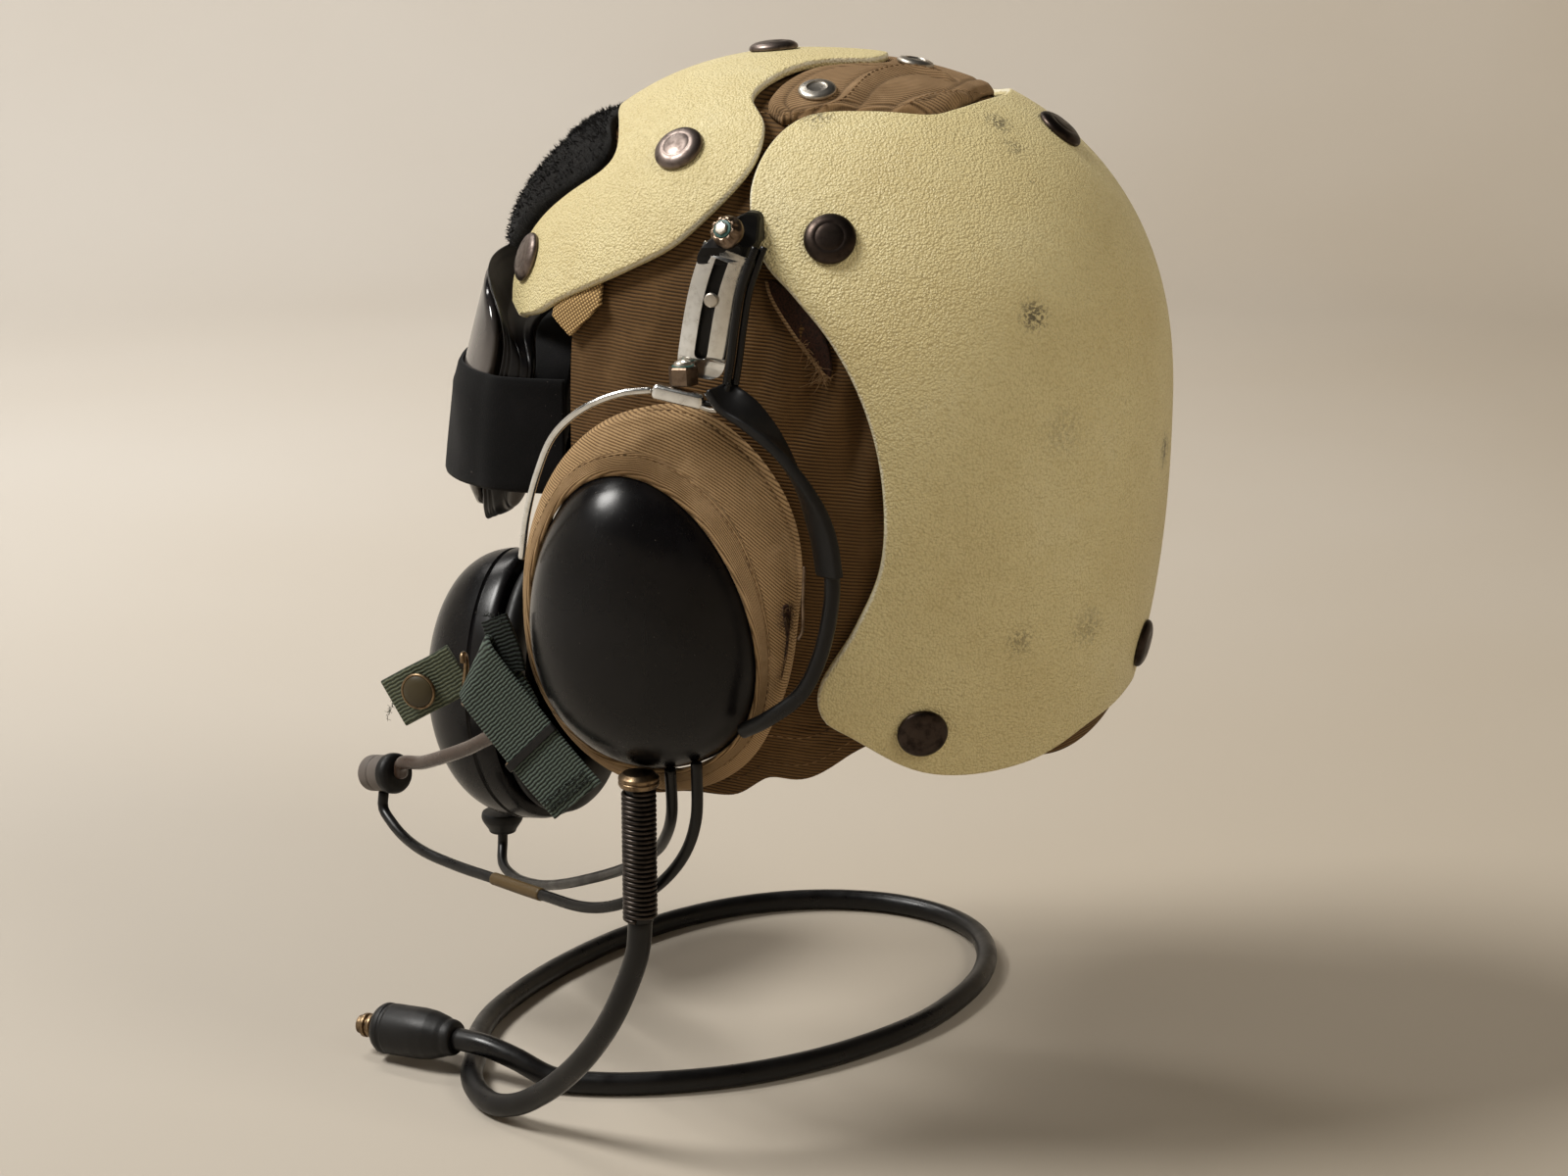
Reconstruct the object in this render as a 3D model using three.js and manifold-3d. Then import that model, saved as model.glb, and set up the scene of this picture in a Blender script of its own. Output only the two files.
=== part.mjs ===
// A flight deck helmet: a hollow cloth cap under two hard shells, with a headset, goggles and a chin strap.
// Millimetres. The wearer faces -Y and the wearer's left is +X. The near side is the wearer's left.
// Heights in the tables are above the surface that the loose cord lies on.
import * as THREE from 'three';
import { mergeVertices } from 'three/addons/utils/BufferGeometryUtils.js';
import Module from 'manifold-3d';

const wasm = await Module();
wasm.setup();

// The outside of the hard shells is a rounded box about its middle.
const HEAD = {
  middle: 244, side: 101, front: 104, rear: 121, crown: 116, jaw: 197, bulge: 2.3, corner: 2.2,
};
const GAP = 0.3;
const SHELL_THICK = 3;
const CLOTH_THICK = 2.5;
// Faceted walls over each other stand off by more than flat ones.
const FACET_GAP = 2.1;
const CAP_OUTER = -SHELL_THICK - FACET_GAP;
const CAP_LAYER = CAP_OUTER + 0.75;
const CAP_INNER = CAP_OUTER - CLOTH_THICK;
const SEAT = HEAD.middle + HEAD.crown + CAP_INNER;
const SNAP = { radius: 8.2, height: 3.6 };
const EYELET = { radius: 6.2, height: 2.4 };
const CUP = {
  middle: [89, -27.5, 189], width: 40, height: 51.5, depth: 35, rim: 9, egg: 0.16, wall: 3, seal: 9,
};
const FAR_CUP = { middle: [-56, -127, 116], turn: -104, lean: 8 };
const CORD = { radius: 4 };
const THIN_CORD = { radius: 2.3 };
const PLUG = { radius: 9.2, length: 33, tip: 8 };
const SPRING = { radius: 5.8, top: 134.9, bottom: 90 };
const WEBBING = { width: 19, thick: 1.8 };
const GOGGLE = {
  middle: 254, side: 74, brow: 39, chin: 48, lens: 56, lensBack: -60, face: 34, faceBack: -58, wall: 3,
  tilt: 0.28, tuck: 0.8,
};
const COVER = { low: 217, high: 259, thick: 2.5 };

const deg = THREE.MathUtils.degToRad;
const vec = ([x, y, z]) => new THREE.Vector3(x, y, z);
const ease = (t) => t * t * (3 - 2 * t);

function table(columns, rows) {
  return rows.map((row) => Object.fromEntries(columns.map((column, i) => [column, row[i]])));
}

// Where a ray from the head form's middle meets its outside, moved out by an offset.
function headPoint(ray, offset) {
  const length = ray.y < 0 ? HEAD.front + offset : HEAD.rear + offset;
  const rise = ray.z > 0 ? HEAD.crown + offset : HEAD.jaw + offset;
  const side = Math.abs(ray.x) / (HEAD.side + offset);
  const ahead = Math.abs(ray.y) / length;
  const flat = (side ** HEAD.corner + ahead ** HEAD.corner) ** (HEAD.bulge / HEAD.corner);
  const reach = (flat + (Math.abs(ray.z) / rise) ** HEAD.bulge) ** (-1 / HEAD.bulge);
  return new THREE.Vector3(ray.x * reach, ray.y * reach, HEAD.middle + ray.z * reach);
}

// The height of the head form's top over a spot, and its width at a height.
function headTop(x, y, offset) {
  const length = y < 0 ? HEAD.front + offset : HEAD.rear + offset;
  const side = Math.abs(x) / (HEAD.side + offset);
  const flat = (side ** HEAD.corner + (Math.abs(y) / length) ** HEAD.corner) ** (HEAD.bulge / HEAD.corner);
  return HEAD.middle + (HEAD.crown + offset) * (1 - flat) ** (1 / HEAD.bulge);
}

function headSide(y, height, offset) {
  const length = y < 0 ? HEAD.front + offset : HEAD.rear + offset;
  const z = height - HEAD.middle;
  const rise = (Math.abs(z) / ((z > 0 ? HEAD.crown : HEAD.jaw) + offset)) ** HEAD.bulge;
  const section = (1 - rise) ** (HEAD.corner / HEAD.bulge);
  return (HEAD.side + offset) * (section - (Math.abs(y) / length) ** HEAD.corner) ** (1 / HEAD.corner);
}

// A view looks at the head form's middle from the front or the rear, raised by an angle.
// Its map is in degrees from the view's middle, across towards +X and along upwards.
function viewFrom(rear, rise) {
  const way = rear ? 1 : -1;
  const axis = new THREE.Vector3(0, way * Math.cos(deg(rise)), Math.sin(deg(rise)));
  const up = new THREE.Vector3(0, -way * Math.sin(deg(rise)), Math.cos(deg(rise)));
  return (across, along) => {
    const reach = Math.hypot(across, along) || 1e-9;
    const ray = axis.clone().multiplyScalar(Math.cos(deg(reach)));
    ray.addScaledVector(up, (Math.sin(deg(reach)) * along) / reach);
    ray.x += (Math.sin(deg(reach)) * across) / reach;
    return ray;
  };
}

// Geometry from points and triangles, turned inside out where its volume would be negative.
function closed(points, triangles) {
  let volume = 0;
  for (const [a, b, c] of triangles) {
    volume += points[a].dot(new THREE.Vector3().crossVectors(points[b], points[c]));
  }
  const order = volume > 0 ? triangles : triangles.map(([a, b, c]) => [a, c, b]);
  const geometry = new THREE.BufferGeometry().setFromPoints(points);
  geometry.setIndex(order.flat());
  return geometry;
}

// A wall between two grids of points. Columns may close round, and the first row may be a single point.
function wall(outer, inner, round = false) {
  const rows = outer.length;
  const columns = outer[rows - 1].length;
  const spans = round ? columns : columns - 1;
  const points = [];
  const triangles = [];
  const number = (grid) => grid.map((row) => row.map((point) => points.push(point) - 1));
  const over = number(outer);
  const under = number(inner);
  const at = (ids, r, c) => ids[r][ids[r].length === 1 ? 0 : c % columns];
  const quad = (a, b, c, d) => {
    if (a !== b) triangles.push([a, b, c]);
    if (c !== d) triangles.push([a, c, d]);
  };
  for (let c = 0; c < spans; c++) {
    for (let r = 0; r < rows - 1; r++) {
      quad(at(over, r + 1, c), at(over, r, c), at(over, r, c + 1), at(over, r + 1, c + 1));
      quad(at(under, r + 1, c + 1), at(under, r, c + 1), at(under, r, c), at(under, r + 1, c));
    }
    const last = rows - 1;
    quad(at(over, last, c + 1), at(under, last, c + 1), at(under, last, c), at(over, last, c));
    if (outer[0].length > 1) quad(at(over, 0, c), at(under, 0, c), at(under, 0, c + 1), at(over, 0, c + 1));
  }
  if (!round) {
    for (let r = 0; r < rows - 1; r++) {
      quad(at(over, r + 1, 0), at(under, r + 1, 0), at(under, r, 0), at(over, r, 0));
      quad(at(over, r, spans), at(under, r, spans), at(under, r + 1, spans), at(over, r + 1, spans));
    }
  }
  return closed(points, triangles.filter(([a, b, c]) => a !== b && b !== c && a !== c));
}

// A patch of the head form inside a closed outline on a view's map, filled from a heart point.
function patch(view, outline, heart, columns, rings, outer, inner) {
  const curve = new THREE.SplineCurve(outline.map(([across, along]) => new THREE.Vector2(across, along)));
  const edge = curve.getSpacedPoints(columns).slice(0, columns);
  const side = (offset) => {
    const rows = [[headPoint(view(...heart), offset(0, heart[1]))]];
    for (let r = 1; r <= rings; r++) {
      const share = r / rings;
      rows.push(edge.map(({ x, y }) => {
        const across = heart[0] + (x - heart[0]) * share;
        const along = heart[1] + (y - heart[1]) * share;
        return headPoint(view(across, along), offset(share, along));
      }));
    }
    return rows;
  };
  return wall(side(outer), side(inner), true);
}

// The near half of an outline and its mirror image, joined into a closed loop of [across, along].
function bothSides(half) {
  const mirrored = half.slice(1, -1).reverse().map(([across, along]) => [-across, along]);
  return [...half, ...mirrored, half[0]];
}

function polar({ turn, reach }) {
  return [reach * Math.sin(deg(turn)), reach * Math.cos(deg(turn))];
}

// A tube along a smooth curve, with a step every few diameters.
function tube(points, radius, sides = 8, stride = 2.8) {
  const path = new THREE.CatmullRomCurve3(points.map(vec), false, 'centripetal');
  const steps = Math.max(5, Math.round(path.getLength() / (2 * radius * stride)));
  const section = Array.from({ length: sides }, (_, i) => {
    const turn = (2 * Math.PI * i) / sides;
    return new THREE.Vector2(radius * Math.cos(turn), radius * Math.sin(turn));
  });
  return new THREE.ExtrudeGeometry(new THREE.Shape(section), { steps, extrudePath: path });
}

// A round bar between two points.
function straight(from, to, radius) {
  const line = new THREE.LineCurve3(vec(from), vec(to));
  const bar = new THREE.CylinderGeometry(radius, radius, line.getLength(), 8);
  const way = line.getTangent(0);
  bar.applyQuaternion(new THREE.Quaternion().setFromUnitVectors(new THREE.Vector3(0, 1, 0), way));
  const middle = line.getPoint(0.5);
  return bar.translate(middle.x, middle.y, middle.z);
}

// A flat strip along rows of a point and the way its width runs.
function strip(rows, width, thick, steps) {
  const path = new THREE.CatmullRomCurve3(rows.map(({ at }) => vec(at)), false, 'centripetal');
  const ways = new THREE.CatmullRomCurve3(rows.map(({ way }) => vec(way)), false, 'centripetal');
  const layer = (lift) => Array.from({ length: steps + 1 }, (_, i) => {
    const t = i / steps;
    const along = path.getTangent(t);
    const wide = ways.getPoint(t).normalize();
    wide.addScaledVector(along, -along.dot(wide)).normalize();
    const normal = new THREE.Vector3().crossVectors(along, wide);
    const middle = path.getPoint(t).addScaledVector(normal, lift);
    return [-0.5, 0.5].map((share) => middle.clone().addScaledVector(wide, share * width));
  });
  return wall(layer(thick / 2), layer(-thick / 2));
}

// A round solid from a profile of [radius, height], standing along +Z.
function turned(profile, sides) {
  const geometry = new THREE.LatheGeometry(profile.map(([r, h]) => new THREE.Vector2(r, h)), sides);
  return geometry.rotateX(Math.PI / 2);
}

function solid(geometry) {
  const bare = geometry.clone();
  bare.deleteAttribute('normal');
  bare.deleteAttribute('uv');
  const merged = mergeVertices(bare, 1e-4);
  const vertProperties = Float32Array.from(merged.attributes.position.array);
  const triVerts = Uint32Array.from(merged.index.array);
  return new wasm.Manifold(new wasm.Mesh({ numProp: 3, vertProperties, triVerts }));
}

function geometryOf(manifold) {
  const { vertProperties, triVerts } = manifold.getMesh();
  const geometry = new THREE.BufferGeometry();
  geometry.setAttribute('position', new THREE.BufferAttribute(vertProperties, 3));
  geometry.setIndex(new THREE.BufferAttribute(triVerts, 1));
  return geometry;
}

function finish(color, roughness, metalness = 0) {
  return new THREE.MeshStandardMaterial({ color, roughness, metalness });
}

const FINISH = {
  shell: finish(0xcfc08a, 0.55),
  cloth: finish(0x6b4a30, 0.9),
  mesh: finish(0x9c7a4e, 0.9),
  bronze: finish(0x2b211b, 0.35, 0.8),
  nickel: finish(0xa9a49a, 0.3, 0.9),
  chrome: finish(0xd8d8d4, 0.15, 1),
  brass: finish(0x8d7443, 0.35, 0.9),
  gloss: finish(0x0d0c0c, 0.15),
  rubber: finish(0x151413, 0.6),
  pile: finish(0x111010, 1),
  lens: finish(0x1a1a1c, 0.08),
  webbing: finish(0x2f3b33, 0.85),
  grey: finish(0x5b5854, 0.5),
};

const helmet = new THREE.Group();
helmet.position.z = -SEAT;

function add(name, geometry, material, parent = helmet) {
  const mesh = new THREE.Mesh(geometry, material);
  mesh.name = name;
  parent.add(mesh);
  return mesh;
}

// Turns a mesh that stands along +Z so that it stands along a direction, at a point.
function stand(mesh, point, direction) {
  mesh.position.copy(point);
  mesh.quaternion.setFromUnitVectors(new THREE.Vector3(0, 0, 1), direction.clone().normalize());
}

// Shells: the rear one from its outline seen from the rear, the front one as a band of stations.
const REAR_VIEW = viewFrom(true, 10);
const TOP_VIEW = viewFrom(false, 70);
const BACK_EDGE = table(['turn', 'reach'], [
  [0, 48],
  [11, 49.5],
  [21, 53],
  [26, 57],
  [28.5, 66],
  [31, 75],
  [38, 80],
  [47, 82],
  [57, 80],
  [64, 75],
  [73, 69],
  [86, 64.5],
  [101, 64],
  [115, 68],
  [123, 74.5],
  [130, 82.5],
  [134.5, 84],
  [138, 81],
  [146, 74],
  [155, 63],
  [163, 55],
  [172, 51.5],
  [180, 50.5],
]);
const FRONT_BAND = table(['frontAcross', 'frontAlong', 'rearAcross', 'rearAlong'], [
  [0, -13, 0, 32],
  [8, -12.5, 6, 30.5],
  [15, -11, 11, 23],
  [21, -9.5, 18, 18.3],
  [26.5, -8.7, 25.5, 15.5],
  [30.5, -9, 33, 18.4],
  [32.5, -11, 41, 17],
  [32.5, -15, 48, 10.5],
  [30.5, -22, 53, 1],
  [27.5, -29.5, 53.5, -10],
  [24.8, -36, 51.5, -20],
  [23.8, -40, 48, -29],
  [25.5, -42.6, 45, -35],
  [31, -43.4, 40, -40.5],
]);

function shells() {
  const outline = bothSides(BACK_EDGE.map(polar));
  const face = () => 0;
  const back = () => -SHELL_THICK;
  add('back_shell', patch(REAR_VIEW, outline, [0, 0], 58, 6, face, back), FINISH.shell);

  const stations = 16;
  const across = 5;
  const half = (a, b) => {
    const points = FRONT_BAND.map((row) => new THREE.Vector2(row[a], row[b]));
    return new THREE.SplineCurve(points).getPoints(stations);
  };
  const front = half('frontAcross', 'frontAlong');
  const rear = half('rearAcross', 'rearAlong');
  const layer = (offset) => {
    const rows = [];
    for (let i = -stations; i <= stations; i++) {
      const side = Math.sign(i) || 1;
      const a = front[Math.abs(i)];
      const b = rear[Math.abs(i)];
      rows.push(Array.from({ length: across + 1 }, (_, k) => {
        const p = a.clone().lerp(b, k / across);
        return headPoint(TOP_VIEW(side * p.x, p.y), offset);
      }));
    }
    return rows;
  };
  add('front_shell', wall(layer(0), layer(-SHELL_THICK)), FINISH.shell);
}

// Domed snap caps, by their bearing from the front and their rise over the level, in degrees.
const SNAPS = table(['name', 'bearing', 'rise', 'kind', 'offset'], [
  ['front_snap_1', 0, 83, SNAP, 0],
  ['front_snap_2', 70, 51, SNAP, 0],
  ['front_snap_3', -70, 51, SNAP, 0],
  ['front_snap_4', 35, 27.5, SNAP, 0],
  ['front_snap_5', -35, 27.5, SNAP, 0],
  ['back_snap_1', 180, 48, SNAP, 0],
  ['back_snap_2', 109, 36, SNAP, 0],
  ['back_snap_3', -109, 36, SNAP, 0],
  ['back_snap_4', 126, -42, SNAP, -0.7],
  ['back_snap_5', -126, -42, SNAP, -0.5],
  ['back_snap_6', 180, -34.5, SNAP, 0],
  ['crown_snap_1', 180, 73, EYELET, -1.3],
  ['crown_snap_2', 107, 67, EYELET, -1.5],
  ['crown_snap_3', -107, 67, EYELET, -1.4],
]);

function snaps() {
  for (const { name, bearing, rise, kind, offset } of SNAPS) {
    const level = Math.cos(deg(rise));
    const ray = new THREE.Vector3(Math.sin(deg(bearing)), -Math.cos(deg(bearing)), 0);
    ray.multiplyScalar(level).setZ(Math.sin(deg(rise)));
    const profile = [
      [0, 0],
      [kind.radius * 0.9, 0],
      [kind.radius, kind.height * 0.4],
      [kind.radius * 0.72, kind.height * 0.86],
      [0, kind.height],
    ];
    const metal = kind === SNAP ? FINISH.bronze : FINISH.nickel;
    const mesh = add(name, turned(profile, 12), metal);
    const foot = headPoint(ray, offset);
    const step = 0.01;
    const across = headPoint(ray.clone().add(new THREE.Vector3(step, 0, 0)), offset).sub(foot);
    const ahead = headPoint(ray.clone().add(new THREE.Vector3(0, step, step)), offset).sub(foot);
    const normal = new THREE.Vector3().crossVectors(across, ahead).normalize();
    if (normal.dot(ray) < 0) normal.negate();
    // A flat foot on a curved shell stands off by the drop of the curve under it.
    const sag = (kind.radius * 0.9) ** 2 / (2 * HEAD.side);
    stand(mesh, foot.addScaledVector(normal, GAP + sag * 0.1), normal);
  }
}

// The cap: a cloth bowl with a face notch, a hole for the near cup and the far side's flap let out.
const CAP_EDGE = table(['turn', 'reach'], [
  [0, 66],
  [25, 67],
  [39, 70],
  [44, 80],
  [46, 98],
  [47, 118],
  [50, 134],
  [57, 144],
  [68, 146],
  [84, 145.5],
  [95, 143],
  [112, 139],
  [150, 136.5],
  [180, 135],
]);
const FACE_NOTCH = [[-130, 300], [-58, 288], [-58, 210], [-63, 200], [-63, 150], [-130, 135]];
const HOLE = 1.1;
const FAR_OPENING = [[-130, 231], [-46, 229], [6, 224], [12, 214], [14, 80], [-130, 80]];
const FAR_SIDE = { from: -140, to: -30 };

function prism(outline, from, to) {
  const shape = new THREE.Shape(outline.map(([y, z]) => new THREE.Vector2(y, z)));
  const geometry = new THREE.ExtrudeGeometry(shape, { depth: to - from, bevelEnabled: false });
  // The shape's x runs along +Y and its y along +Z, and the depth along +X.
  geometry.applyMatrix4(new THREE.Matrix4().makeBasis(
    new THREE.Vector3(0, 1, 0),
    new THREE.Vector3(0, 0, 1),
    new THREE.Vector3(1, 0, 0),
  ));
  return geometry.translate(from, 0, 0);
}

function cap() {
  const crown = viewFrom(false, 90);
  const outline = bothSides(CAP_EDGE.map(polar)).map(([across, along]) => [across, -along]);
  const bowl = patch(crown, outline, [0, 0], 52, 8, () => CAP_OUTER, () => CAP_INNER);
  const hole = ovalSolid([[0, -30], [HOLE, -30], [HOLE, 40], [0, 40]], 28).translate(...CUP.middle);
  const cloth = solid(bowl)
    .subtract(solid(prism(FACE_NOTCH, -HEAD.side - 10, HEAD.side + 10)))
    .subtract(solid(prism(FAR_OPENING, FAR_SIDE.from, FAR_SIDE.to)))
    .subtract(solid(hole));
  add('cap', geometryOf(cloth), FINISH.cloth);

  const flap = table(['x', 'front', 'rear'], [
    [-55.5, 5, 10.5],
    [-50, -1, 26],
    [-38, 0, 50],
    [-24, 7, 55],
    [-11, 23.5, 57],
    [0, 25, 57],
    [11, 23.5, 57],
    [24, 7, 55],
    [38, 0, 50],
    [50, -1, 26],
    [55.5, 5, 10.5],
  ]);
  const across = 4;
  const layer = (offset) => flap.map(({ x, front, rear }) => Array.from({ length: across + 1 }, (_, k) => {
    const y = front + ((rear - front) * k) / across;
    return new THREE.Vector3(x, y, headTop(x, y, offset));
  }));
  add('crown_flap', wall(layer(-1.4), layer(CAP_LAYER)), FINISH.cloth);

  const tab = table(['y', 'low', 'high'], [
    [-65.5, 280.2, 282.2],
    [-57, 275, 284.8],
    [-51, 280.5, 287],
    [-46, 285.8, 288],
  ]);
  const side = (offset) => tab.map(({ y, low, high }) => [low, high].map((height) => (
    new THREE.Vector3(headSide(y, height, offset), y, height)
  )));
  add('near_mesh_tab', wall(side(-1.4), side(CAP_LAYER)), FINISH.mesh);
}

const PAD_EDGE = [
  [0, -15.5],
  [13, -13.5],
  [25, -11],
  [29.5, -12.5],
  [30, -16],
  [28, -22.5],
  [25, -30],
  [22.3, -36.5],
  [18, -40.5],
  [0, -42],
];

// The forehead pad's pile grows thicker towards its lower edge.
function foreheadPad() {
  const outer = (share, along) => {
    const lower = Math.min(1, Math.max(0, (-along - 12) / 26));
    return 2 + 4.5 * ease(lower) - 2.5 * share ** 6;
  };
  const inner = () => CAP_LAYER;
  add('forehead_pad', patch(TOP_VIEW, bothSides(PAD_EDGE), [0, -28], 26, 3, outer, inner), FINISH.pile);
}

// An ear cup stands along +X from its seal. Its outline is an oval, wider below.
function cupScale(y, z) {
  return [y * CUP.width * (1 - CUP.egg * z), z * CUP.height];
}

function domeShare(depth) {
  return (1 - (depth / CUP.depth) ** 2.3) ** (1 / 2.3);
}

function ovalSolid(profile, sides) {
  const geometry = turned(profile, sides);
  const position = geometry.attributes.position;
  for (let i = 0; i < position.count; i++) {
    const [y, z] = cupScale(position.getX(i), position.getY(i));
    position.setXYZ(i, position.getZ(i), y, z);
  }
  return fixed(geometry);
}

// The same geometry with its faces pointing out.
function fixed(geometry) {
  const { array, count } = geometry.attributes.position;
  const points = Array.from({ length: count }, (_, i) => new THREE.Vector3().fromArray(array, i * 3));
  const index = geometry.index ? Array.from(geometry.index.array) : points.map((_, i) => i);
  const triangles = Array.from({ length: index.length / 3 }, (_, i) => index.slice(i * 3, i * 3 + 3));
  return closed(points, triangles);
}

function earCup(name, group) {
  const inner = 1 - CUP.wall / CUP.width;
  const bowl = [
    [0, CUP.depth],
    ...[33.5, 29, 22, 13].map((depth) => [domeShare(depth), depth]),
    [1, 2],
    [0.985, -CUP.rim],
    [inner - 0.12, -CUP.rim],
    [inner - 0.02, 2],
    [inner * 0.8, 22],
    [0, CUP.depth - CUP.wall - 1],
  ];
  add(name + '_ear_cup', ovalSolid(bowl, 22), FINISH.gloss, group);
  const seat = -CUP.rim - GAP;
  const ring = [
    [0.9, seat],
    [0.95, seat - CUP.seal * 0.5],
    [0.86, seat - CUP.seal],
    [0.66, seat - CUP.seal],
    [0.6, seat - CUP.seal * 0.5],
    [0.68, seat],
    [0.9, seat],
  ];
  add(name + '_ear_seal', ovalSolid(ring, 18), FINISH.rubber, group);
}

// The cloth pocket stands off the cap on a short skirt, and runs from there to a rim round the dome.
// Its base is these times the cup's outline, every 30 degrees from the top towards the rear.
const POCKET_BASE = [1.28, 1.47, 1.55, 1.22, 1.1, 1.12, 1.18, 1.18, 1.175, 1.165, 1.19, 1.23];

function earPocket(group) {
  const columns = 24;
  const thick = 2;
  const sizes = POCKET_BASE.map((size) => vec([size, 0, 0]));
  const base = new THREE.CatmullRomCurve3(sizes, true, 'catmullrom');
  const section = (turn, lift) => {
    const lean = 0.5 + 0.5 * Math.cos(turn - deg(48));
    const size = base.getPoint(turn / (2 * Math.PI)).x;
    const depth = 7 + 11 * ease(lean);
    const share = domeShare(depth);
    const [rimY, rimZ] = cupScale(Math.sin(turn) * share, Math.cos(turn) * share);
    const way = new THREE.Vector3(0.35, Math.sin(turn), Math.cos(turn)).normalize();
    const rim = new THREE.Vector3(depth, rimY, rimZ).addScaledVector(way, GAP + lift);
    const foot = pocketBase(turn, size - 0.08 * lean).addScaledVector(way, lift);
    const seam = pocketBase(turn, size).addScaledVector(way, lift);
    seam.x += 6 * lean;
    const middle = seam.clone().lerp(rim, 0.5).addScaledVector(way, 2.8 + 1.5 * lean);
    return [foot, seam, middle, rim];
  };
  const turns = Array.from({ length: columns }, (_, i) => (2 * Math.PI * i) / columns);
  const layer = (lift) => [0, 1, 2, 3].map((row) => turns.map((turn) => section(turn, lift)[row]));
  add('near_ear_pocket', wall(layer(thick), layer(0), true), FINISH.cloth, group);
}

function pocketBase(turn, size) {
  const [y, z] = cupScale(Math.sin(turn) * size, Math.cos(turn) * size);
  const x = headSide(CUP.middle[1] + y, CUP.middle[2] + z, CAP_LAYER) - CUP.middle[0];
  return new THREE.Vector3(Number.isFinite(x) ? x : -8, y, z);
}

function earCups() {
  const near = new THREE.Group();
  near.position.copy(vec(CUP.middle));
  helmet.add(near);
  earCup('near', near);
  earPocket(near);
  const far = new THREE.Group();
  far.position.copy(vec(FAR_CUP.middle));
  far.rotation.set(0, deg(FAR_CUP.lean), deg(FAR_CUP.turn), 'ZYX');
  helmet.add(far);
  earCup('far', far);
}

// The far side's cloth flap hangs forward from the cap's temple to the far pocket.
function farFlap() {
  const rows = table(['at', 'way'], [
    [[-92, -20, 214.5], [0.3, -0.9, 0.25]],
    [[-95, -40, 208], [0.3, -0.8, 0.45]],
    [[-90, -60, 194], [0.25, -0.75, 0.6]],
    [[-83, -78, 176], [0.2, -0.7, 0.7]],
    [[-79, -92, 160], [0.2, -0.65, 0.7]],
    [[-73.5, -102, 147.5], [0.2, -0.6, 0.75]],
  ]);
  add('far_flap', strip(rows, 46, 2, 10), FINISH.cloth);
}

// The headset's side arm: block, slotted plate, nut, wire yoke, rubber sleeve and tubes.
const ARM_FACE = 103.2;
const BLOCK = [[-8, 299], [6, 299], [5, 306], [2, 311.5], [-5, 311.5], [-8, 306]];
const PLATE = { y: -1.5, middle: 284, width: 16, length: 40, thick: 1.6, slot: 5, chamfer: 2 };

// The block's back lies against the cap and its front is upright.
function sliderBlock() {
  const geometry = prism(BLOCK, 0, 1);
  const position = geometry.attributes.position;
  for (let i = 0; i < position.count; i++) {
    const back = headSide(position.getY(i), position.getZ(i), CAP_LAYER);
    position.setX(i, position.getX(i) > 0.5 ? ARM_FACE : back);
  }
  return fixed(geometry);
}

function slottedPlate() {
  const w = PLATE.width / 2;
  const l = PLATE.length / 2;
  const c = PLATE.chamfer;
  const outline = [[-w, c - l], [c - w, -l], [w - c, -l], [w, c - l], [w, l], [-w, l]];
  const s = PLATE.slot / 2;
  const slot = [[-s, 9 - l], [s, 9 - l], [s, l - 5], [-s, l - 5]];
  const placed = (points) => points.map(([y, z]) => [y + PLATE.y, z + PLATE.middle]);
  const from = ARM_FACE + GAP * 2;
  const plate = solid(prism(placed(outline), from, from + PLATE.thick));
  return geometryOf(plate.subtract(solid(prism(placed(slot), from - 1, from + PLATE.thick + 1))));
}

function mirrored(geometry) {
  return fixed(geometry.clone().scale(-1, 1, 1));
}

function headset() {
  const tongue = new THREE.BoxGeometry(3, 6, 24).translate(101.5, PLATE.y, 292);
  const pin = new THREE.CylinderGeometry(2, 2, 4, 12).rotateZ(Math.PI / 2).translate(105, PLATE.y, 292);
  const body = geometryOf(solid(sliderBlock()).add(solid(tongue)).add(solid(pin)));
  const plate = slottedPlate();
  const parts = { slider_block: [body, FINISH.rubber], slider_plate: [plate, FINISH.chrome] };
  for (const [part, [geometry, material]] of Object.entries(parts)) {
    add('near_' + part, geometry, material);
    add('far_' + part, mirrored(geometry), material);
  }

  const nut = add('block_nut', turned([[0, 0], [5, 0], [5, 3], [3.6, 5], [0, 5]], 12), FINISH.nickel);
  stand(nut, new THREE.Vector3(ARM_FACE + GAP, -1, 310), new THREE.Vector3(1, 0, 0));
  const prismatic = new THREE.CylinderGeometry(4.6, 4.6, 6, 6).rotateX(Math.PI / 2);
  const hex = add('yoke_nut', prismatic, FINISH.nickel);
  hex.position.set(109.5, -10, 270);
  const clip = add('yoke_clip', new THREE.BoxGeometry(5, 17, 5), FINISH.chrome);
  clip.position.set(112, -11, 263.5);
  clip.rotation.x = deg(-10);
}

const YOKE_WIRE = [
  [111.5, -20.3, 264.8],
  [113, -30, 265.5],
  [113.5, -42, 259],
  [112.5, -52, 249],
  [110.5, -58.5, 236],
  [107, -63.5, 222],
  [101, -68, 206],
];
const FAR_YOKE = [
  [-107.6, -8, 266],
  [-111, -20, 256],
  [-112, -42, 236],
  [-106, -66, 212],
  [-96, -90, 188],
  [-83, -116, 166],
  [-78.1, -126, 157.6],
];
const SLEEVE = table(['at', 'way'], [
  [[112.2, -0.7, 265], [1, -0.6, -0.4]],
  [[113, 7, 262], [1, -0.5, -0.3]],
  [[114, 16, 256], [1, -0.4, -0.2]],
  [[113.5, 26, 244], [1, -0.2, -0.1]],
  [[112, 34, 228], [1, 0, 0]],
  [[110, 38, 211], [1, 0.1, 0]],
]);
const BAND_TUBE = [[99.5, 9.2, 301], [104, 10, 294], [107.8, 8.6, 283], [110.6, 4.6, 268.6]];
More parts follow.
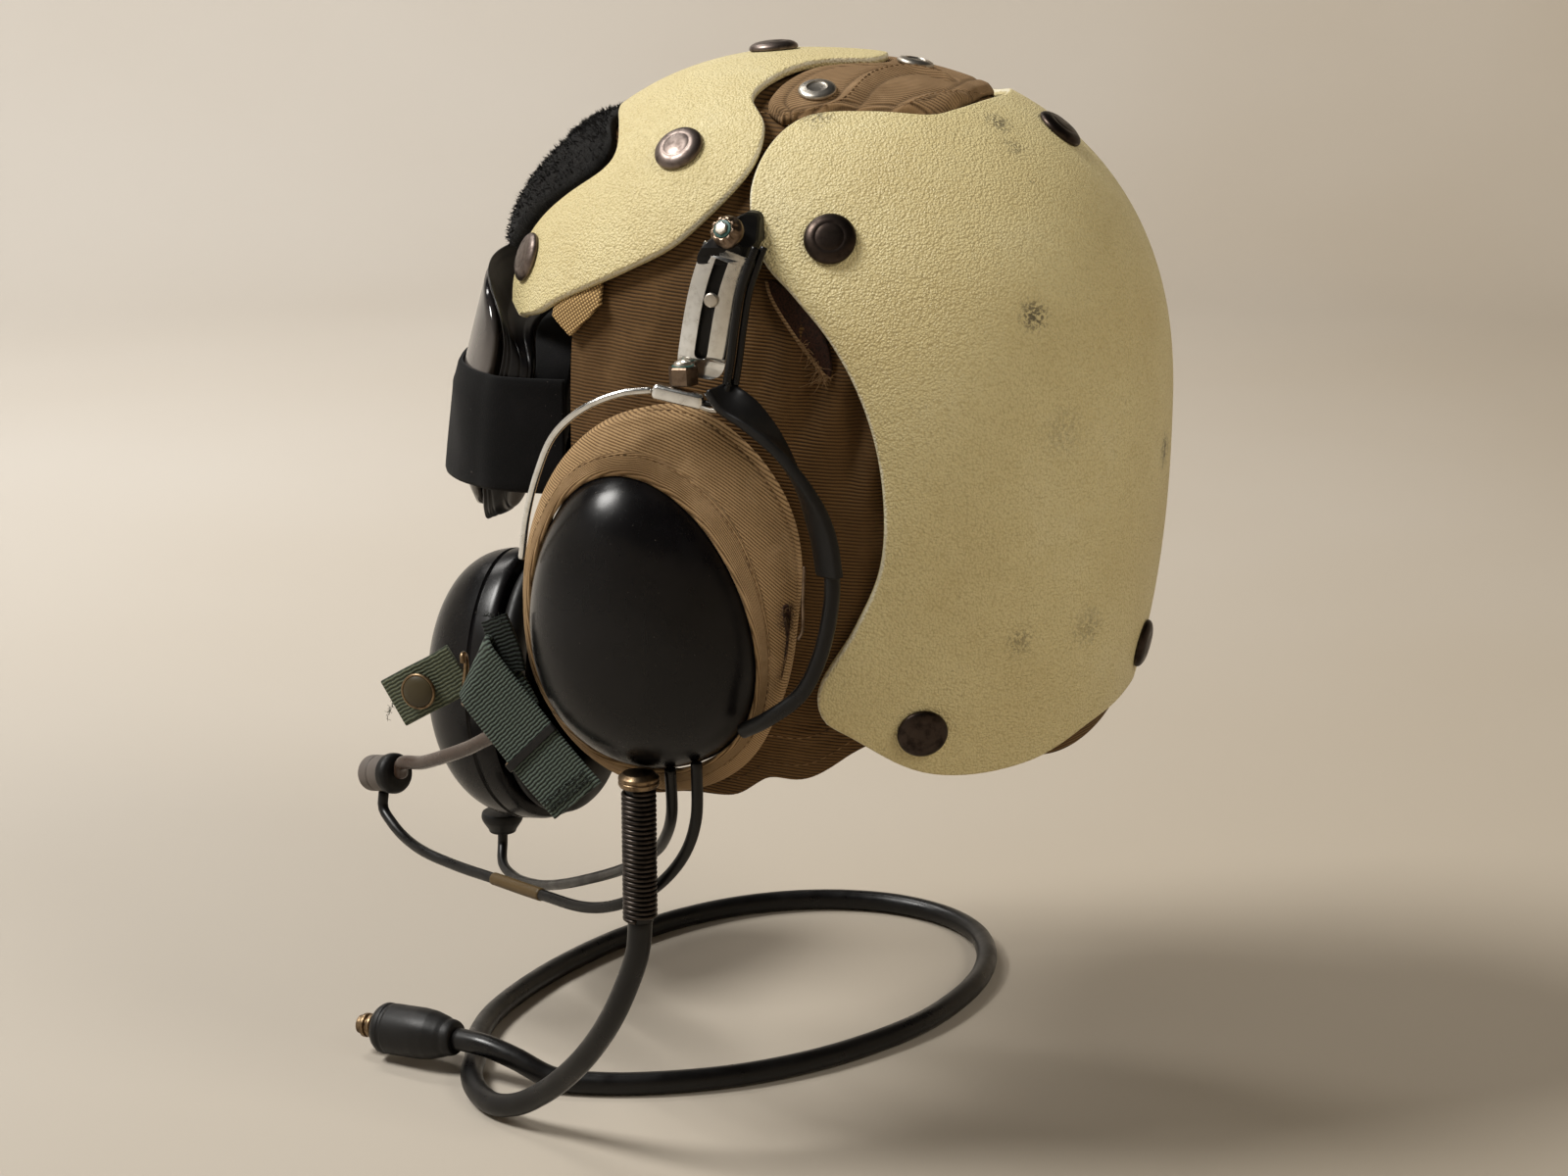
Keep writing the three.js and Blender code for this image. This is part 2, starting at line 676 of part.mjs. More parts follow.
const LOWER_TUBE = [
  [110, 38, 209.5],
  [111, 37, 196],
  [112, 32, 180],
  [113.5, 23, 167],
  [112, 13, 159],
  [108, 6, 154],
];

function armParts() {
  add('near_yoke_wire', tube(YOKE_WIRE, 1.3, 8, 3), FINISH.chrome);
  add('far_yoke_wire', tube(FAR_YOKE, 1.8, 8, 3), FINISH.rubber);
  add('band_tube', tube(BAND_TUBE, 2.6), FINISH.rubber);
  add('sleeve_arm', strip(SLEEVE, 9, 5, 12), FINISH.rubber);
  add('lower_tube', tube(LOWER_TUBE, 2.6), FINISH.rubber);
}

// What hangs from the cups, and the microphone on its boom.
const BOOM = [
  [13.5, -150.6, 99.2],
  [18, -148, 104.5],
  [28, -136, 109],
  [42, -121, 117],
  [54, -107, 125],
  [66, -93, 134],
  [79, -78, 141.5],
  [86.4, -68, 147],
];
const MIC = { at: [4, -167, 95], way: [0.45, 0.85, 0.2], radius: 6.6, length: 12 };
const CORD_EXIT = { near: [108, -27], far: [-52, -138, 57] };

function hanging() {
  const up = new THREE.Vector3(0, 0, 1);
  const [x, y] = CORD_EXIT.near;
  const collar = [[0, 0], [6, 0], [6.6, 1], [6.6, 3.4], [5, 4.8], [0, 4.8]];
  stand(add('cord_ring', turned(collar, 16), FINISH.brass), new THREE.Vector3(x, y, SPRING.top + GAP), up);
  const { radius, bottom, top } = SPRING;
  const coil = [[0, bottom], [radius, bottom], [radius, top], [0, top]];
  add('cord_spring', turned(coil, 14).translate(x, y, 0), FINISH.rubber);
  const grommet = [[0, 0], [5, 0], [8, 6], [7.5, 8], [0, 8]];
  stand(add('far_grommet', turned(grommet, 16), FINISH.rubber), vec(CORD_EXIT.far), up);

  add('mic_boom', tube(BOOM, 2.5), FINISH.bronze);
  const along = vec(MIC.way).normalize();
  const capsule = [[0, 0], [5.6, 0], [MIC.radius, 1.5], [MIC.radius, MIC.length], [0, MIC.length]];
  stand(add('mic_body', turned(capsule, 16), FINISH.grey), vec(MIC.at), along);
  const lid = [[0, 0], [7.4, 0], [7.4, 3.4], [5, 5], [0, 5]];
  const lidAt = vec(MIC.at).addScaledVector(along, MIC.length + GAP);
  stand(add('mic_cap', turned(lid, 16), FINISH.rubber), lidAt, along);
}

// Cords, from where they leave the object to their ends.
const MIC_CORD = [
  [8, -160, 89.4],
  [9, -160, 84],
  [13, -155, 80],
  [19, -147.5, 77],
  [27, -137, 75.5],
  [38, -120, 75.5],
  [52, -100, 77.5],
  [68, -76, 79.5],
  [84, -54, 83],
  [93, -39, 89],
  [98, -25, 98],
  [100, -15, 110],
  [103, -9.5, 124],
  [103.5, -9, 143.3],
];
const CROSS_CORD = [
  [-52, -138, 56.5],
  [-51.7, -138, 52.5],
  [-45, -135.5, 47],
  [-34, -126.5, 46],
  [-18, -112, 50],
  [0, -97, 57.5],
  [24, -76, 70],
  [52, -52, 86],
  [72, -36, 99],
  [87, -26, 110],
  [99, -19, 124],
  [103, -18, 140.1],
];
const MAIN_CORD = [
  [108, -27, 89.6],
  [108, -28, 79],
  [106.5, -33, 65],
  [103.5, -40, 51],
  [98.5, -49.5, 37],
  [92.5, -60, 25],
  [87, -70.5, 15.5],
  [82.5, -81, 8.5],
  [77, -91.5, 4.8],
  [67.5, -101.5, 4.1],
  [54, -109.5, 4.1],
  [39, -114, 4.1],
  [22, -120, 4.1],
  [0, -123, 4.1],
  [-27, -121, 4.1],
  [-58, -114.5, 4.1],
  [-90, -103, 4.1],
  [-119, -86, 4.1],
  [-141, -64, 4.1],
  [-154, -38, 4.1],
  [-157, -12, 4.1],
  [-150, 11, 4.1],
  [-135, 28, 4.1],
  [-113, 38, 4.1],
  [-88, 41, 4.1],
  [-62, 38, 4.1],
  [-38, 31, 4.1],
  [-15, 19, 4.1],
  [7, 3, 4.1],
  [26, -17, 4.1],
  [40, -40, 4.1],
  [48, -62, 4.1],
  [51, -80, 5.2],
  [50.5, -94, 10.5],
  [48.5, -106, 13.2],
  [45, -118, 13],
];
const PLUG_AT = [44.7, -118.6, 13];
const PLUG_WAY = [-0.22, -0.97, -0.07];

function cords() {
  add('mic_cord', tube(MIC_CORD, THIN_CORD.radius), FINISH.rubber);
  add('cross_cord', tube(CROSS_CORD, THIN_CORD.radius), FINISH.rubber);
  add('main_cord', tube(MAIN_CORD, CORD.radius), FINISH.rubber);
  const way = vec(PLUG_WAY).normalize();
  const r = PLUG.radius;
  const body = [
    [0, 0],
    [r * 0.62, 0],
    [r * 0.78, 2],
    [r, 14],
    [r, PLUG.length - 2],
    [r * 0.86, PLUG.length],
    [0, PLUG.length],
  ];
  stand(add('plug_body', turned(body, 16), FINISH.rubber), vec(PLUG_AT), way);
  const ringed = [[0, 0]];
  for (let i = 0; i < 3; i++) {
    const at = (i * PLUG.tip) / 3;
    ringed.push([4.4, at], [4.4, at + 1.5], [3.4, at + 1.7], [3.4, at + 2.5]);
  }
  ringed.push([3.4, PLUG.tip + 1], [0, PLUG.tip + 1]);
  const tipAt = vec(PLUG_AT).addScaledVector(way, PLUG.length + GAP);
  stand(add('plug_tip', turned(ringed, 12), FINISH.brass), tipAt, way);
}

// Goggles: every loop runs round the face in front view, and its depth follows the face's curve.
function lensDepth(x) {
  return GOGGLE.lensBack - GOGGLE.lens * (1 - (Math.abs(x) / (GOGGLE.side + 4)) ** 2.6) ** (1 / 2.6);
}

function faceDepth(x) {
  return GOGGLE.faceBack - GOGGLE.face * (1 - (Math.abs(x) / (GOGGLE.side + 8)) ** 2.2) ** (1 / 2.2);
}

// The goggles lean back above the band that covers them, and tuck in below it.
function tilted(x, y, z) {
  const above = GOGGLE.tilt * Math.max(0, z - COVER.high + 8);
  const below = GOGGLE.tuck * Math.max(0, COVER.low - z);
  return new THREE.Vector3(x, y + above + below, z);
}

function goggleLoop(side, top, bottom, depth, columns = 28) {
  const boxy = 2 / 3.6;
  return Array.from({ length: columns }, (_, i) => {
    const turn = (2 * Math.PI * i) / columns;
    const c = Math.cos(turn);
    const s = Math.sin(turn);
    const x = side * Math.sign(s) * Math.abs(s) ** boxy;
    const lift = Math.sign(c) * Math.abs(c) ** boxy;
    const nose = c < 0 ? 17 * Math.exp(-((x / 19) ** 2)) : 0;
    return tilted(x, depth(x), GOGGLE.middle + lift * (c > 0 ? top : bottom) + nose);
  });
}

function goggles() {
  const { side, brow, chin, wall: thick } = GOGGLE;
  const shrink = (loop, by) => loop.map((p) => {
    const nose = p.clone().setX(p.x * (1 - by / side));
    return nose.setZ(GOGGLE.middle + (p.z - GOGGLE.middle) * (1 - by / 40));
  });
  const back = (x) => faceDepth(x) - FACET_GAP;
  const middle = (x) => (lensDepth(x) + faceDepth(x)) / 2;
  const loops = [
    goggleLoop(side - 1, brow, chin, lensDepth),
    goggleLoop(side, 23, chin - 5, middle),
    goggleLoop(side, 19, 38, back),
  ];
  add('goggle_frame', wall(loops, loops.map((loop) => shrink(loop, thick)), true), FINISH.gloss);

  const foam = [
    goggleLoop(side - 1.4, 19, 35, faceDepth),
    goggleLoop(side - 1.6, 20, 36, (x) => faceDepth(x) + 7),
    goggleLoop(side - 2.2, 20, 35, (x) => faceDepth(x) + 12),
  ];
  add('goggle_seal', wall(foam, foam.map((loop) => shrink(loop, 8)), true), FINISH.pile);

  const edge = shrink(loops[0], thick + 1.8);
  // The frame's top slopes down behind the lens.
  for (const p of edge) p.z = Math.min(p.z, GOGGLE.middle + brow - thick - 5);
  const rings = 2;
  const glass = (offset) => {
    const heart = tilted(0, lensDepth(0) + offset, GOGGLE.middle + 6);
    const rows = [[heart]];
    for (let r = 1; r <= rings; r++) {
      rows.push(edge.map((p) => {
        const point = heart.clone().lerp(p, r / rings);
        return tilted(point.x, lensDepth(point.x) + offset, point.z);
      }));
    }
    return rows;
  };
  add('goggle_lens', wall(glass(0.3), glass(2.3), true), FINISH.lens);

  const half = [0, 22, 42, 56, 65, 71].map((x) => [x, lensDepth(x) - 2.6]);
  half.push([74.8, -87], [76, -78], [75.4, -70], [74.3, -62.5]);
  const ways = [...half.slice(1).reverse().map(([x, y]) => [-x, y]), ...half];
  const height = COVER.high - COVER.low;
  const rows = ways.map(([x, y]) => ({ at: [x, y, COVER.low + height / 2], way: [0, 0, 1] }));
  add('goggle_cover', strip(rows, height, COVER.thick, 30), FINISH.pile);
}

// The chin strap's near part: webbing folded over a wire buckle, and the free piece with its snap.
// The folded webbing lies along a rise and its width along a run.
const STRAP = { base: [0, -83, 170], run: [0, 0.756, 0.655], rise: [0, -0.655, 0.756] };
const STRAP_PATH = table(['x', 'rise', 'drift'], [
  [98, -22, -4.8],
  [97.5, -11.5, -2],
  [97, 0, 0],
  [97.6, 5, 0],
  [100.2, 8, 0],
  [103, 5, -0.5],
  [104.5, -4.4, -2],
  [106.5, -19.4, -3.6],
  [109, -34.4, -4.6],
  [110.5, -51.4, -4.8],
]);
const KEEPER_PATH = table(['x', 'rise', 'drift'], [
  [109.5, -24, -4],
  [110.5, -30, -4.4],
]);
const BUCKLE = { x: 100.1, rise: 3.8, half: 13, out: [-0.7, 0.7], reach: 8, wire: 1.1 };
const STRAP_TAIL = table(['at', 'way'], [
  [[91.4, -94, 165], [0, -0.25, 0.95]],
  [[92.1, -100, 161], [0, -0.3, 0.93]],
  [[92.5, -108, 156.5], [0, -0.4, 0.9]],
  [[91, -118, 150.5], [0, -0.45, 0.87]],
]);

function strapPoint(x, rise, drift) {
  const point = vec(STRAP.base).addScaledVector(vec(STRAP.rise), rise);
  point.addScaledVector(vec(STRAP.run), drift);
  return point.setX(x).toArray();
}

function chinStrap() {
  const rows = (path) => path.map(({ x, rise, drift }) => (
    { at: strapPoint(x, rise, drift), way: STRAP.run }
  ));
  add('chin_strap', strip(rows(STRAP_PATH), WEBBING.width, WEBBING.thick, 22), FINISH.webbing);
  add('strap_keeper', strip(rows(KEEPER_PATH), WEBBING.width + 3, 1.2, 2), FINISH.rubber);

  const corners = [[-1, 0], [1, 0], [1, 1], [-1, 1]].map(([across, ahead]) => strapPoint(
    BUCKLE.x + ahead * BUCKLE.out[0] * BUCKLE.reach,
    BUCKLE.rise + ahead * BUCKLE.out[1] * BUCKLE.reach,
    across * BUCKLE.half,
  ));
  const bars = corners.map((point, i) => solid(straight(point, corners[(i + 1) % 4], BUCKLE.wire)));
  const knot = new THREE.IcosahedronGeometry(BUCKLE.wire + 0.3);
  const knots = corners.map((point) => solid(knot.clone().translate(...point)));
  const buckle = [...bars, ...knots].reduce((all, next) => all.add(next));
  add('strap_buckle', geometryOf(buckle), FINISH.nickel);

  add('strap_tail', strip(STRAP_TAIL, WEBBING.width, WEBBING.thick, 8), FINISH.webbing);
  const cap = turned([[0, 0], [6.2, 0], [6.2, 1.8], [4.5, 3.2], [0, 3.2]], 14);
  const snap = add('strap_snap', cap, FINISH.bronze);
  stand(snap, new THREE.Vector3(94.1, -107.5, 156.5), new THREE.Vector3(1, -0.05, 0.02));
}

shells();
snaps();
cap();
foreheadPad();
earCups();
farFlap();
headset();
armParts();
hanging();
cords();
goggles();
chinStrap();

export default helmet;
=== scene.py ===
# Flight deck helmet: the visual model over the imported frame.
# Tables are in millimetres with heights above the surface that the cord lies on; Blender is in metres.
import math
import random

import bmesh
import bpy
import numpy as np
from mathutils import Matrix, Vector


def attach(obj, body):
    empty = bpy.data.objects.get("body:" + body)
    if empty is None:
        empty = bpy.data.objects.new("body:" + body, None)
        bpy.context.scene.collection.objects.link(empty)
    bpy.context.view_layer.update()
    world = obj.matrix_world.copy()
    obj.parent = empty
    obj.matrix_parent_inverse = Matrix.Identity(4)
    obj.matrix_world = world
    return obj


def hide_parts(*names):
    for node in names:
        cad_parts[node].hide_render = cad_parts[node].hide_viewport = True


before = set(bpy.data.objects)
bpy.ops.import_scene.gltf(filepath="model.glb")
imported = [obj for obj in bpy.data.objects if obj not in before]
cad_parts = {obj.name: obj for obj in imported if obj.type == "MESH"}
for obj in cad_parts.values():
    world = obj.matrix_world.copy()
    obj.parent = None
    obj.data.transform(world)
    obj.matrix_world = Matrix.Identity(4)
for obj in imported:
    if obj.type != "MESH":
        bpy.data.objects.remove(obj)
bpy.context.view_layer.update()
SEAT = 352.4  # height of the head's top inside the cap
rng = random.Random(11)


def in_frame(points):
    """Millimetres above the surface to metres in the frame."""
    return (np.asarray(points, float) - [0, 0, SEAT]) / 1000


# Camera
TURN = math.radians(16.5)
PITCH = math.radians(14.5)
AHEAD = Vector((math.cos(TURN), math.sin(TURN), 0))
RIGHT = Vector((-math.sin(TURN), math.cos(TURN), 0))
CAMERA_AWAY, CAMERA_LEFT, CAMERA_HEIGHT = 1060, 10.2, 450
SENSOR, FOCAL = 36, 72.83

camera = bpy.data.objects.new("camera", bpy.data.cameras.new("camera"))
bpy.context.scene.collection.objects.link(camera)
camera.location = in_frame(AHEAD * CAMERA_AWAY - RIGHT * CAMERA_LEFT + Vector((0, 0, CAMERA_HEIGHT)))
facing = -AHEAD * math.cos(PITCH) - Vector((0, 0, math.sin(PITCH)))
camera.rotation_euler = facing.to_track_quat("-Z", "Y").to_euler()
camera.data.sensor_width = SENSOR
camera.data.lens = FOCAL
camera.data.clip_start = 0.05
camera.data.clip_end = 50
bpy.context.scene.camera = camera


# Curves
def unit(v):
    v = np.asarray(v, float)
    return v / np.maximum(np.linalg.norm(v, axis=-1, keepdims=True), 1e-12)


def round_turns(count):
    """Angles evenly round a circle."""
    return np.linspace(0, 2 * math.pi, count, endpoint=False)


def ease(t):
    t = np.clip(t, 0, 1)
    return t * t * (3 - 2 * t)


def run_along(path):
    """The distance from the start of a path to each of its points."""
    return np.concatenate([[0], np.cumsum(np.linalg.norm(np.diff(path, axis=0), axis=1))])


def length_of(path):
    return float(run_along(path)[-1])


def read_columns(at, known, table):
    """The columns of a table, read at places between its known ones."""
    return np.stack([np.interp(at, known, column) for column in np.transpose(table)], -1)


def catmull_rom(a, b, c, d, w):
    """The uniform curve between b and c at share w, with a and d as neighbours."""
    v0, v1 = (c - a) / 2, (d - b) / 2
    return (2 * b - 2 * c + v0 + v1) * w**3 + (-3 * b + 3 * c - 2 * v0 - v1) * w**2 + v0 * w + b


def spline_open(points, count, even=True):
    """A uniform Catmull-Rom curve through 2-D or 3-D points, spaced evenly or by its points."""
    p = np.asarray(points, float)
    n = len(p)
    t = np.linspace(0, n - 1, 60 * n)
    i = np.minimum(t.astype(int), n - 2)
    q = catmull_rom(p[np.maximum(i - 1, 0)], p[i], p[i + 1], p[np.minimum(i + 2, n - 1)], (t - i)[:, None])
    s = run_along(q) if even else t
    return read_columns(np.linspace(0, s[-1], count), s, q)


def smooth_path(points, count):
    """A centripetal Catmull-Rom curve through 3-D points, evenly spaced."""
    p = np.asarray(points, float)
    p = np.vstack([2 * p[0] - p[1], p, 2 * p[-1] - p[-2]])
    out = []
    for a, b, c, d in zip(p, p[1:], p[2:], p[3:]):
        t0, t1, t2, t3 = np.cumsum([0] + [np.linalg.norm(v) ** 0.5 for v in (b - a, c - b, d - c)])
        t = np.linspace(t1, t2, 40, endpoint=False)[:, None]
        ab = (t1 - t) / (t1 - t0) * a + (t - t0) / (t1 - t0) * b
        bc = (t2 - t) / (t2 - t1) * b + (t - t1) / (t2 - t1) * c
        cd = (t3 - t) / (t3 - t2) * c + (t - t2) / (t3 - t2) * d
        abc = (t2 - t) / (t2 - t0) * ab + (t - t0) / (t2 - t0) * bc
        bcd = (t3 - t) / (t3 - t1) * bc + (t - t1) / (t3 - t1) * cd
        out.append((t2 - t) / (t2 - t1) * abc + (t - t1) / (t2 - t1) * bcd)
    q = np.vstack(out + [p[-2]])
    s = run_along(q)
    return read_columns(np.linspace(0, s[-1], count), s, q)


def frames_along(path):
    """Tangents and two steady sideways directions along a path."""
    tangent = unit(np.gradient(path, axis=0))
    side = np.cross(tangent[0], [0.12, 0.3, 1.0])
    sides = []
    for t in tangent:
        side = unit(side - t * (side @ t))
        sides.append(side)
    sides = np.array(sides)
    return tangent, sides, np.cross(tangent, sides)


def side_ways(way):
    """Two directions at right angles to a direction."""
    a = unit(np.cross(way, [0.2, 0.3, 0.93]))
    return a, np.cross(way, a)


# Head form: both shells and the cap are layers of it, at an offset from the shells' outer face.
HEAD = dict(middle=244, side=101, front=104, rear=121, crown=116, jaw=197, bulge=2.3, corner=2.2)
SHELL_THICK = 3.0
CAP_OUTER = -5.1
CAP_INNER = CAP_OUTER - 2.5
CAP_LAYER = CAP_OUTER + 0.75


def plan_share(x, y, offset):
    """How far out points lie in plan, 1 on the form's widest outline."""
    length = np.where(y < 0, HEAD["front"], HEAD["rear"]) + offset
    flat = (np.abs(x) / (HEAD["side"] + offset)) ** HEAD["corner"] + (np.abs(y) / length) ** HEAD["corner"]
    return flat ** (HEAD["bulge"] / HEAD["corner"])


def head_point(ray, offset):
    """Where rays from the form's middle meet the layer at an offset."""
    ray = np.asarray(ray, float)
    x, y, z = ray[..., 0], ray[..., 1], ray[..., 2]
    rise = np.where(z > 0, HEAD["crown"], HEAD["jaw"]) + offset
    reach = (plan_share(x, y, offset) + (np.abs(z) / rise) ** HEAD["bulge"]) ** (-1 / HEAD["bulge"])
    return np.stack([x * reach, y * reach, HEAD["middle"] + z * reach], -1)


def head_normal(ray, offset=0.0):
    ray = unit(ray)
    step = 0.004
    a = unit(np.cross(ray, np.broadcast_to([0.31, 0.17, 0.9], ray.shape)))
    here, beside, above = (head_point(ray + step * v, offset) for v in (np.zeros(3), a, np.cross(ray, a)))
    n = unit(np.cross(beside - here, above - here))
    return n * np.sign((n * ray).sum(-1, keepdims=True))


def top_point(x, y, offset):
    """The layer's point above a place in plan."""
    height = (HEAD["crown"] + offset) * np.maximum(1 - plan_share(x, y, offset), 0) ** (1 / HEAD["bulge"])
    return np.stack([x, y, HEAD["middle"] + height], -1)


def head_side(y, height, offset):
    """How far out the layer lies at a place seen from the side."""
    length = np.where(y < 0, HEAD["front"], HEAD["rear"]) + offset
    z = height - HEAD["middle"]
    rise = (np.abs(z) / (np.where(z > 0, HEAD["crown"], HEAD["jaw"]) + offset)) ** HEAD["bulge"]
    section = np.maximum(1 - rise, 0) ** (HEAD["corner"] / HEAD["bulge"])
    inner = np.maximum(section - (np.abs(y) / length) ** HEAD["corner"], 1e-9)
    return (HEAD["side"] + offset) * inner ** (1 / HEAD["corner"])


def side_point(y, height, offset):
    return np.stack([head_side(y, height, offset), y, height], -1)


def view_from(way, rise):
    """Rays for (across, along) degrees round an axis that rises to the rear (1) or to the front (-1)."""
    r = math.radians(rise)
    axis = np.array([0, way * math.cos(r), math.sin(r)])
    up = np.array([0, -way * math.sin(r), math.cos(r)])

    def ray(across, along):
        across, along = np.broadcast_arrays(np.asarray(across, float), np.asarray(along, float))
        reach = np.maximum(np.hypot(across, along), 1e-9)
        a = np.radians(reach)
        out = np.cos(a)[..., None] * axis + (np.sin(a) * along / reach)[..., None] * up
        out[..., 0] += np.sin(a) * across / reach
        return out

    return ray


REAR_VIEW = view_from(1, 10)
TOP_VIEW = view_from(-1, 70)
CROWN_VIEW = view_from(-1, 90)


def both_sides(half):
    """A closed outline from its half, mirrored."""
    half = [tuple(p) for p in half]
    return half + [(-x, y) for x, y in half[-2:0:-1]] + [half[0]]


def turned_outline(table, count):
    """A smooth closed outline from (bearing, reach) rows of its half."""
    half = [(r * math.sin(math.radians(t)), r * math.cos(math.radians(t))) for t, r in table]
    return spline_open(both_sides(half), count)[:-1]


# Meshes
def link(name, mesh, material):
    ob = bpy.data.objects.new(name, mesh)
    bpy.context.scene.collection.objects.link(ob)
    if material is not None:
        mesh.materials.append(material)
    return ob


def register(ob, slot, *nodes):
    """Gives a piece its body and hides the CAD nodes that it replaces; the slot is not used."""
    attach(ob, "root")
    if nodes:
        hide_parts(*nodes)


def set_attribute(mesh, key, numbers):
    layer = mesh.attributes.new(key, "FLOAT", "POINT")
    layer.data.foreach_set("value", np.asarray(numbers, np.float32))


def mesh_piece(name, verts, faces, material, values=None, smooth=True, outward=True):
    mesh = bpy.data.meshes.new(name)
    mesh.from_pydata(in_frame(verts).tolist(), [], [tuple(int(i) for i in f) for f in faces])
    for key, numbers in (values or {}).items():
        set_attribute(mesh, key, numbers)
    if outward:
        bm = bmesh.new()
        bm.from_mesh(mesh)
        bmesh.ops.recalc_face_normals(bm, faces=bm.faces)
        bm.to_mesh(mesh)
        bm.free()
    mesh.polygons.foreach_set("use_smooth", [smooth] * len(mesh.polygons))
    mesh.update()
    return link(name, mesh, material)


def loft(name, rows, material, start=None, end=None, wrap=False, values=None):
    """A surface through closed rows of equal length, with an optional pole at each end."""
    rows = [np.asarray(r, float) for r in rows]
    n = len(rows[0])
    verts = np.concatenate(rows)
    spread = {
        key: np.concatenate([np.broadcast_to(np.asarray(v, float), (n,)) for v in given])
        for key, given in (values or {}).items()
    }
    faces = []
    for r in range(len(rows) if wrap else len(rows) - 1):
        s = (r + 1) % len(rows)
        for c in range(n):
            d = (c + 1) % n
            faces.append((r * n + c, r * n + d, s * n + d, s * n + c))
    for pole, base in ((start, 0), (end, (len(rows) - 1) * n)):
        if pole is None:
            continue
        i = len(verts)
        verts = np.vstack([verts, pole])
        for key in spread:
            spread[key] = np.append(spread[key], spread[key][base])
        faces += [(i, base + c, base + (c + 1) % n) for c in range(n)]
    return mesh_piece(name, verts, faces, material, spread)


def tube_piece(name, path, radius, material, sides=16):
    """A round tube along a dense path, with rounded ends."""
    tangent, a, b = frames_along(path)
    turns = round_turns(sides)[:, None]
    rows = [p + radius * (np.cos(turns) * u + np.sin(turns) * v) for p, u, v in zip(path, a, b)]
    bulge = 0.18 * radius
    start, end = path[0] - tangent[0] * bulge, path[-1] + tangent[-1] * bulge
    first, last = start + (rows[0] - path[0]) * 0.82, end + (rows[-1] - path[-1]) * 0.82
    return loft(name, [first] + rows + [last], material, start=start, end=end)


def wire(name, points, count, radius, material, sides=16):
    """A round tube along a smooth curve through a few points."""
    return tube_piece(name, smooth_path(points, count), radius, material, sides)


def lathe(name, profile, material, at, way, sides=48, sharp=35):
    """A turned piece of (radius, height) rows from axis to axis, on a point along a direction."""
    turns = round_turns(sides)[:, None]
    at, way = np.asarray(at, float), unit(way)
    a, b = side_ways(way)
    rows = [at + way * h + r * (np.cos(turns) * a + np.sin(turns) * b) for r, h in profile[1:-1]]
    ob = loft(name, rows, material, start=at + way * profile[0][1], end=at + way * profile[-1][1])
    ob.data.set_sharp_from_angle(angle=math.radians(sharp))
    return ob


def round_corner(a, b, c, radius, shares):
    """Points along a rounded corner at b."""
    before, after = np.linalg.norm(a - b), np.linalg.norm(c - b)
    s, e = b + (a - b) / before * radius, b + (c - b) / after * radius
    return [tuple((1 - t) ** 2 * s + 2 * t * (1 - t) * b + t * t * e) for t in shares]


def soften(profile, radius):
    """Rounds the corners of an open profile."""
    p = [np.array(q, float) for q in profile]
    out = [tuple(p[0])]
    for a, b, c in zip(p, p[1:], p[2:]):
        r = min(radius, 0.45 * np.linalg.norm(a - b), 0.45 * np.linalg.norm(c - b))
        out += round_corner(a, b, c, r, np.linspace(0, 1, 4))
    return out + [tuple(p[-1])]


def rounded(corners, radii, steps=5):
    """A closed outline with a rounding radius at each corner."""
    p = [np.array(c, float) for c in corners]
    out = []
    for i, (b, radius) in enumerate(zip(p, radii)):
        a, c = p[i - 1], p[(i + 1) % len(p)]
        r = min(radius, 0.48 * np.linalg.norm(a - b), 0.48 * np.linalg.norm(c - b))
        out += round_corner(a, b, c, r, np.linspace(0, 1, steps))
    return out


def join(name, parts):
    """One object from several, with their materials kept."""
    bpy.context.view_layer.update()
    bpy.ops.object.select_all(action="DESELECT")
    for ob in parts:
        ob.select_set(True)
    bpy.context.view_layer.objects.active = parts[0]
    bpy.ops.object.join()
    parts[0].name = name
    parts[0].data.name = name
    return parts[0]


def apply_modifier(ob, kind, **settings):
    m = ob.modifiers.new(kind.lower(), kind)
    for key, value in settings.items():
        setattr(m, key, value)
    bpy.context.view_layer.objects.active = ob
    bpy.ops.object.modifier_apply(modifier=m.name)


def bevel(ob, width, segments, angle):
    """Bevels a piece's edges, in metres, where its faces turn by more than an angle."""
    limit = math.radians(angle)
    apply_modifier(ob, "BEVEL", width=width, segments=segments, limit_method="ANGLE", angle_limit=limit)


def merge_flat(bm, gap):
    """Joins doubled vertices and the triangles of flat faces."""
    bmesh.ops.remove_doubles(bm, verts=bm.verts, dist=gap)
    bmesh.ops.dissolve_limit(bm, angle_limit=math.radians(1), verts=bm.verts, edges=bm.edges)


def shade(mesh, sharp):
    """Smooth faces with sharp edges above an angle."""
    mesh.polygons.foreach_set("use_smooth", [True] * len(mesh.polygons))
    mesh.set_sharp_from_angle(angle=math.radians(sharp))


def from_node(name, node, material, width, segments):
    """A bevelled copy of a CAD node's mesh."""
    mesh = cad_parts[node].data.copy()
    mesh.materials.clear()
    ob = link(name, mesh, material)
    bm = bmesh.new()
    bm.from_mesh(mesh)
    merge_flat(bm, 1e-6)
    bm.to_mesh(mesh)
    bm.free()
    bevel(ob, width / 1000, segments, 30)
    shade(ob.data, 40)
    return ob


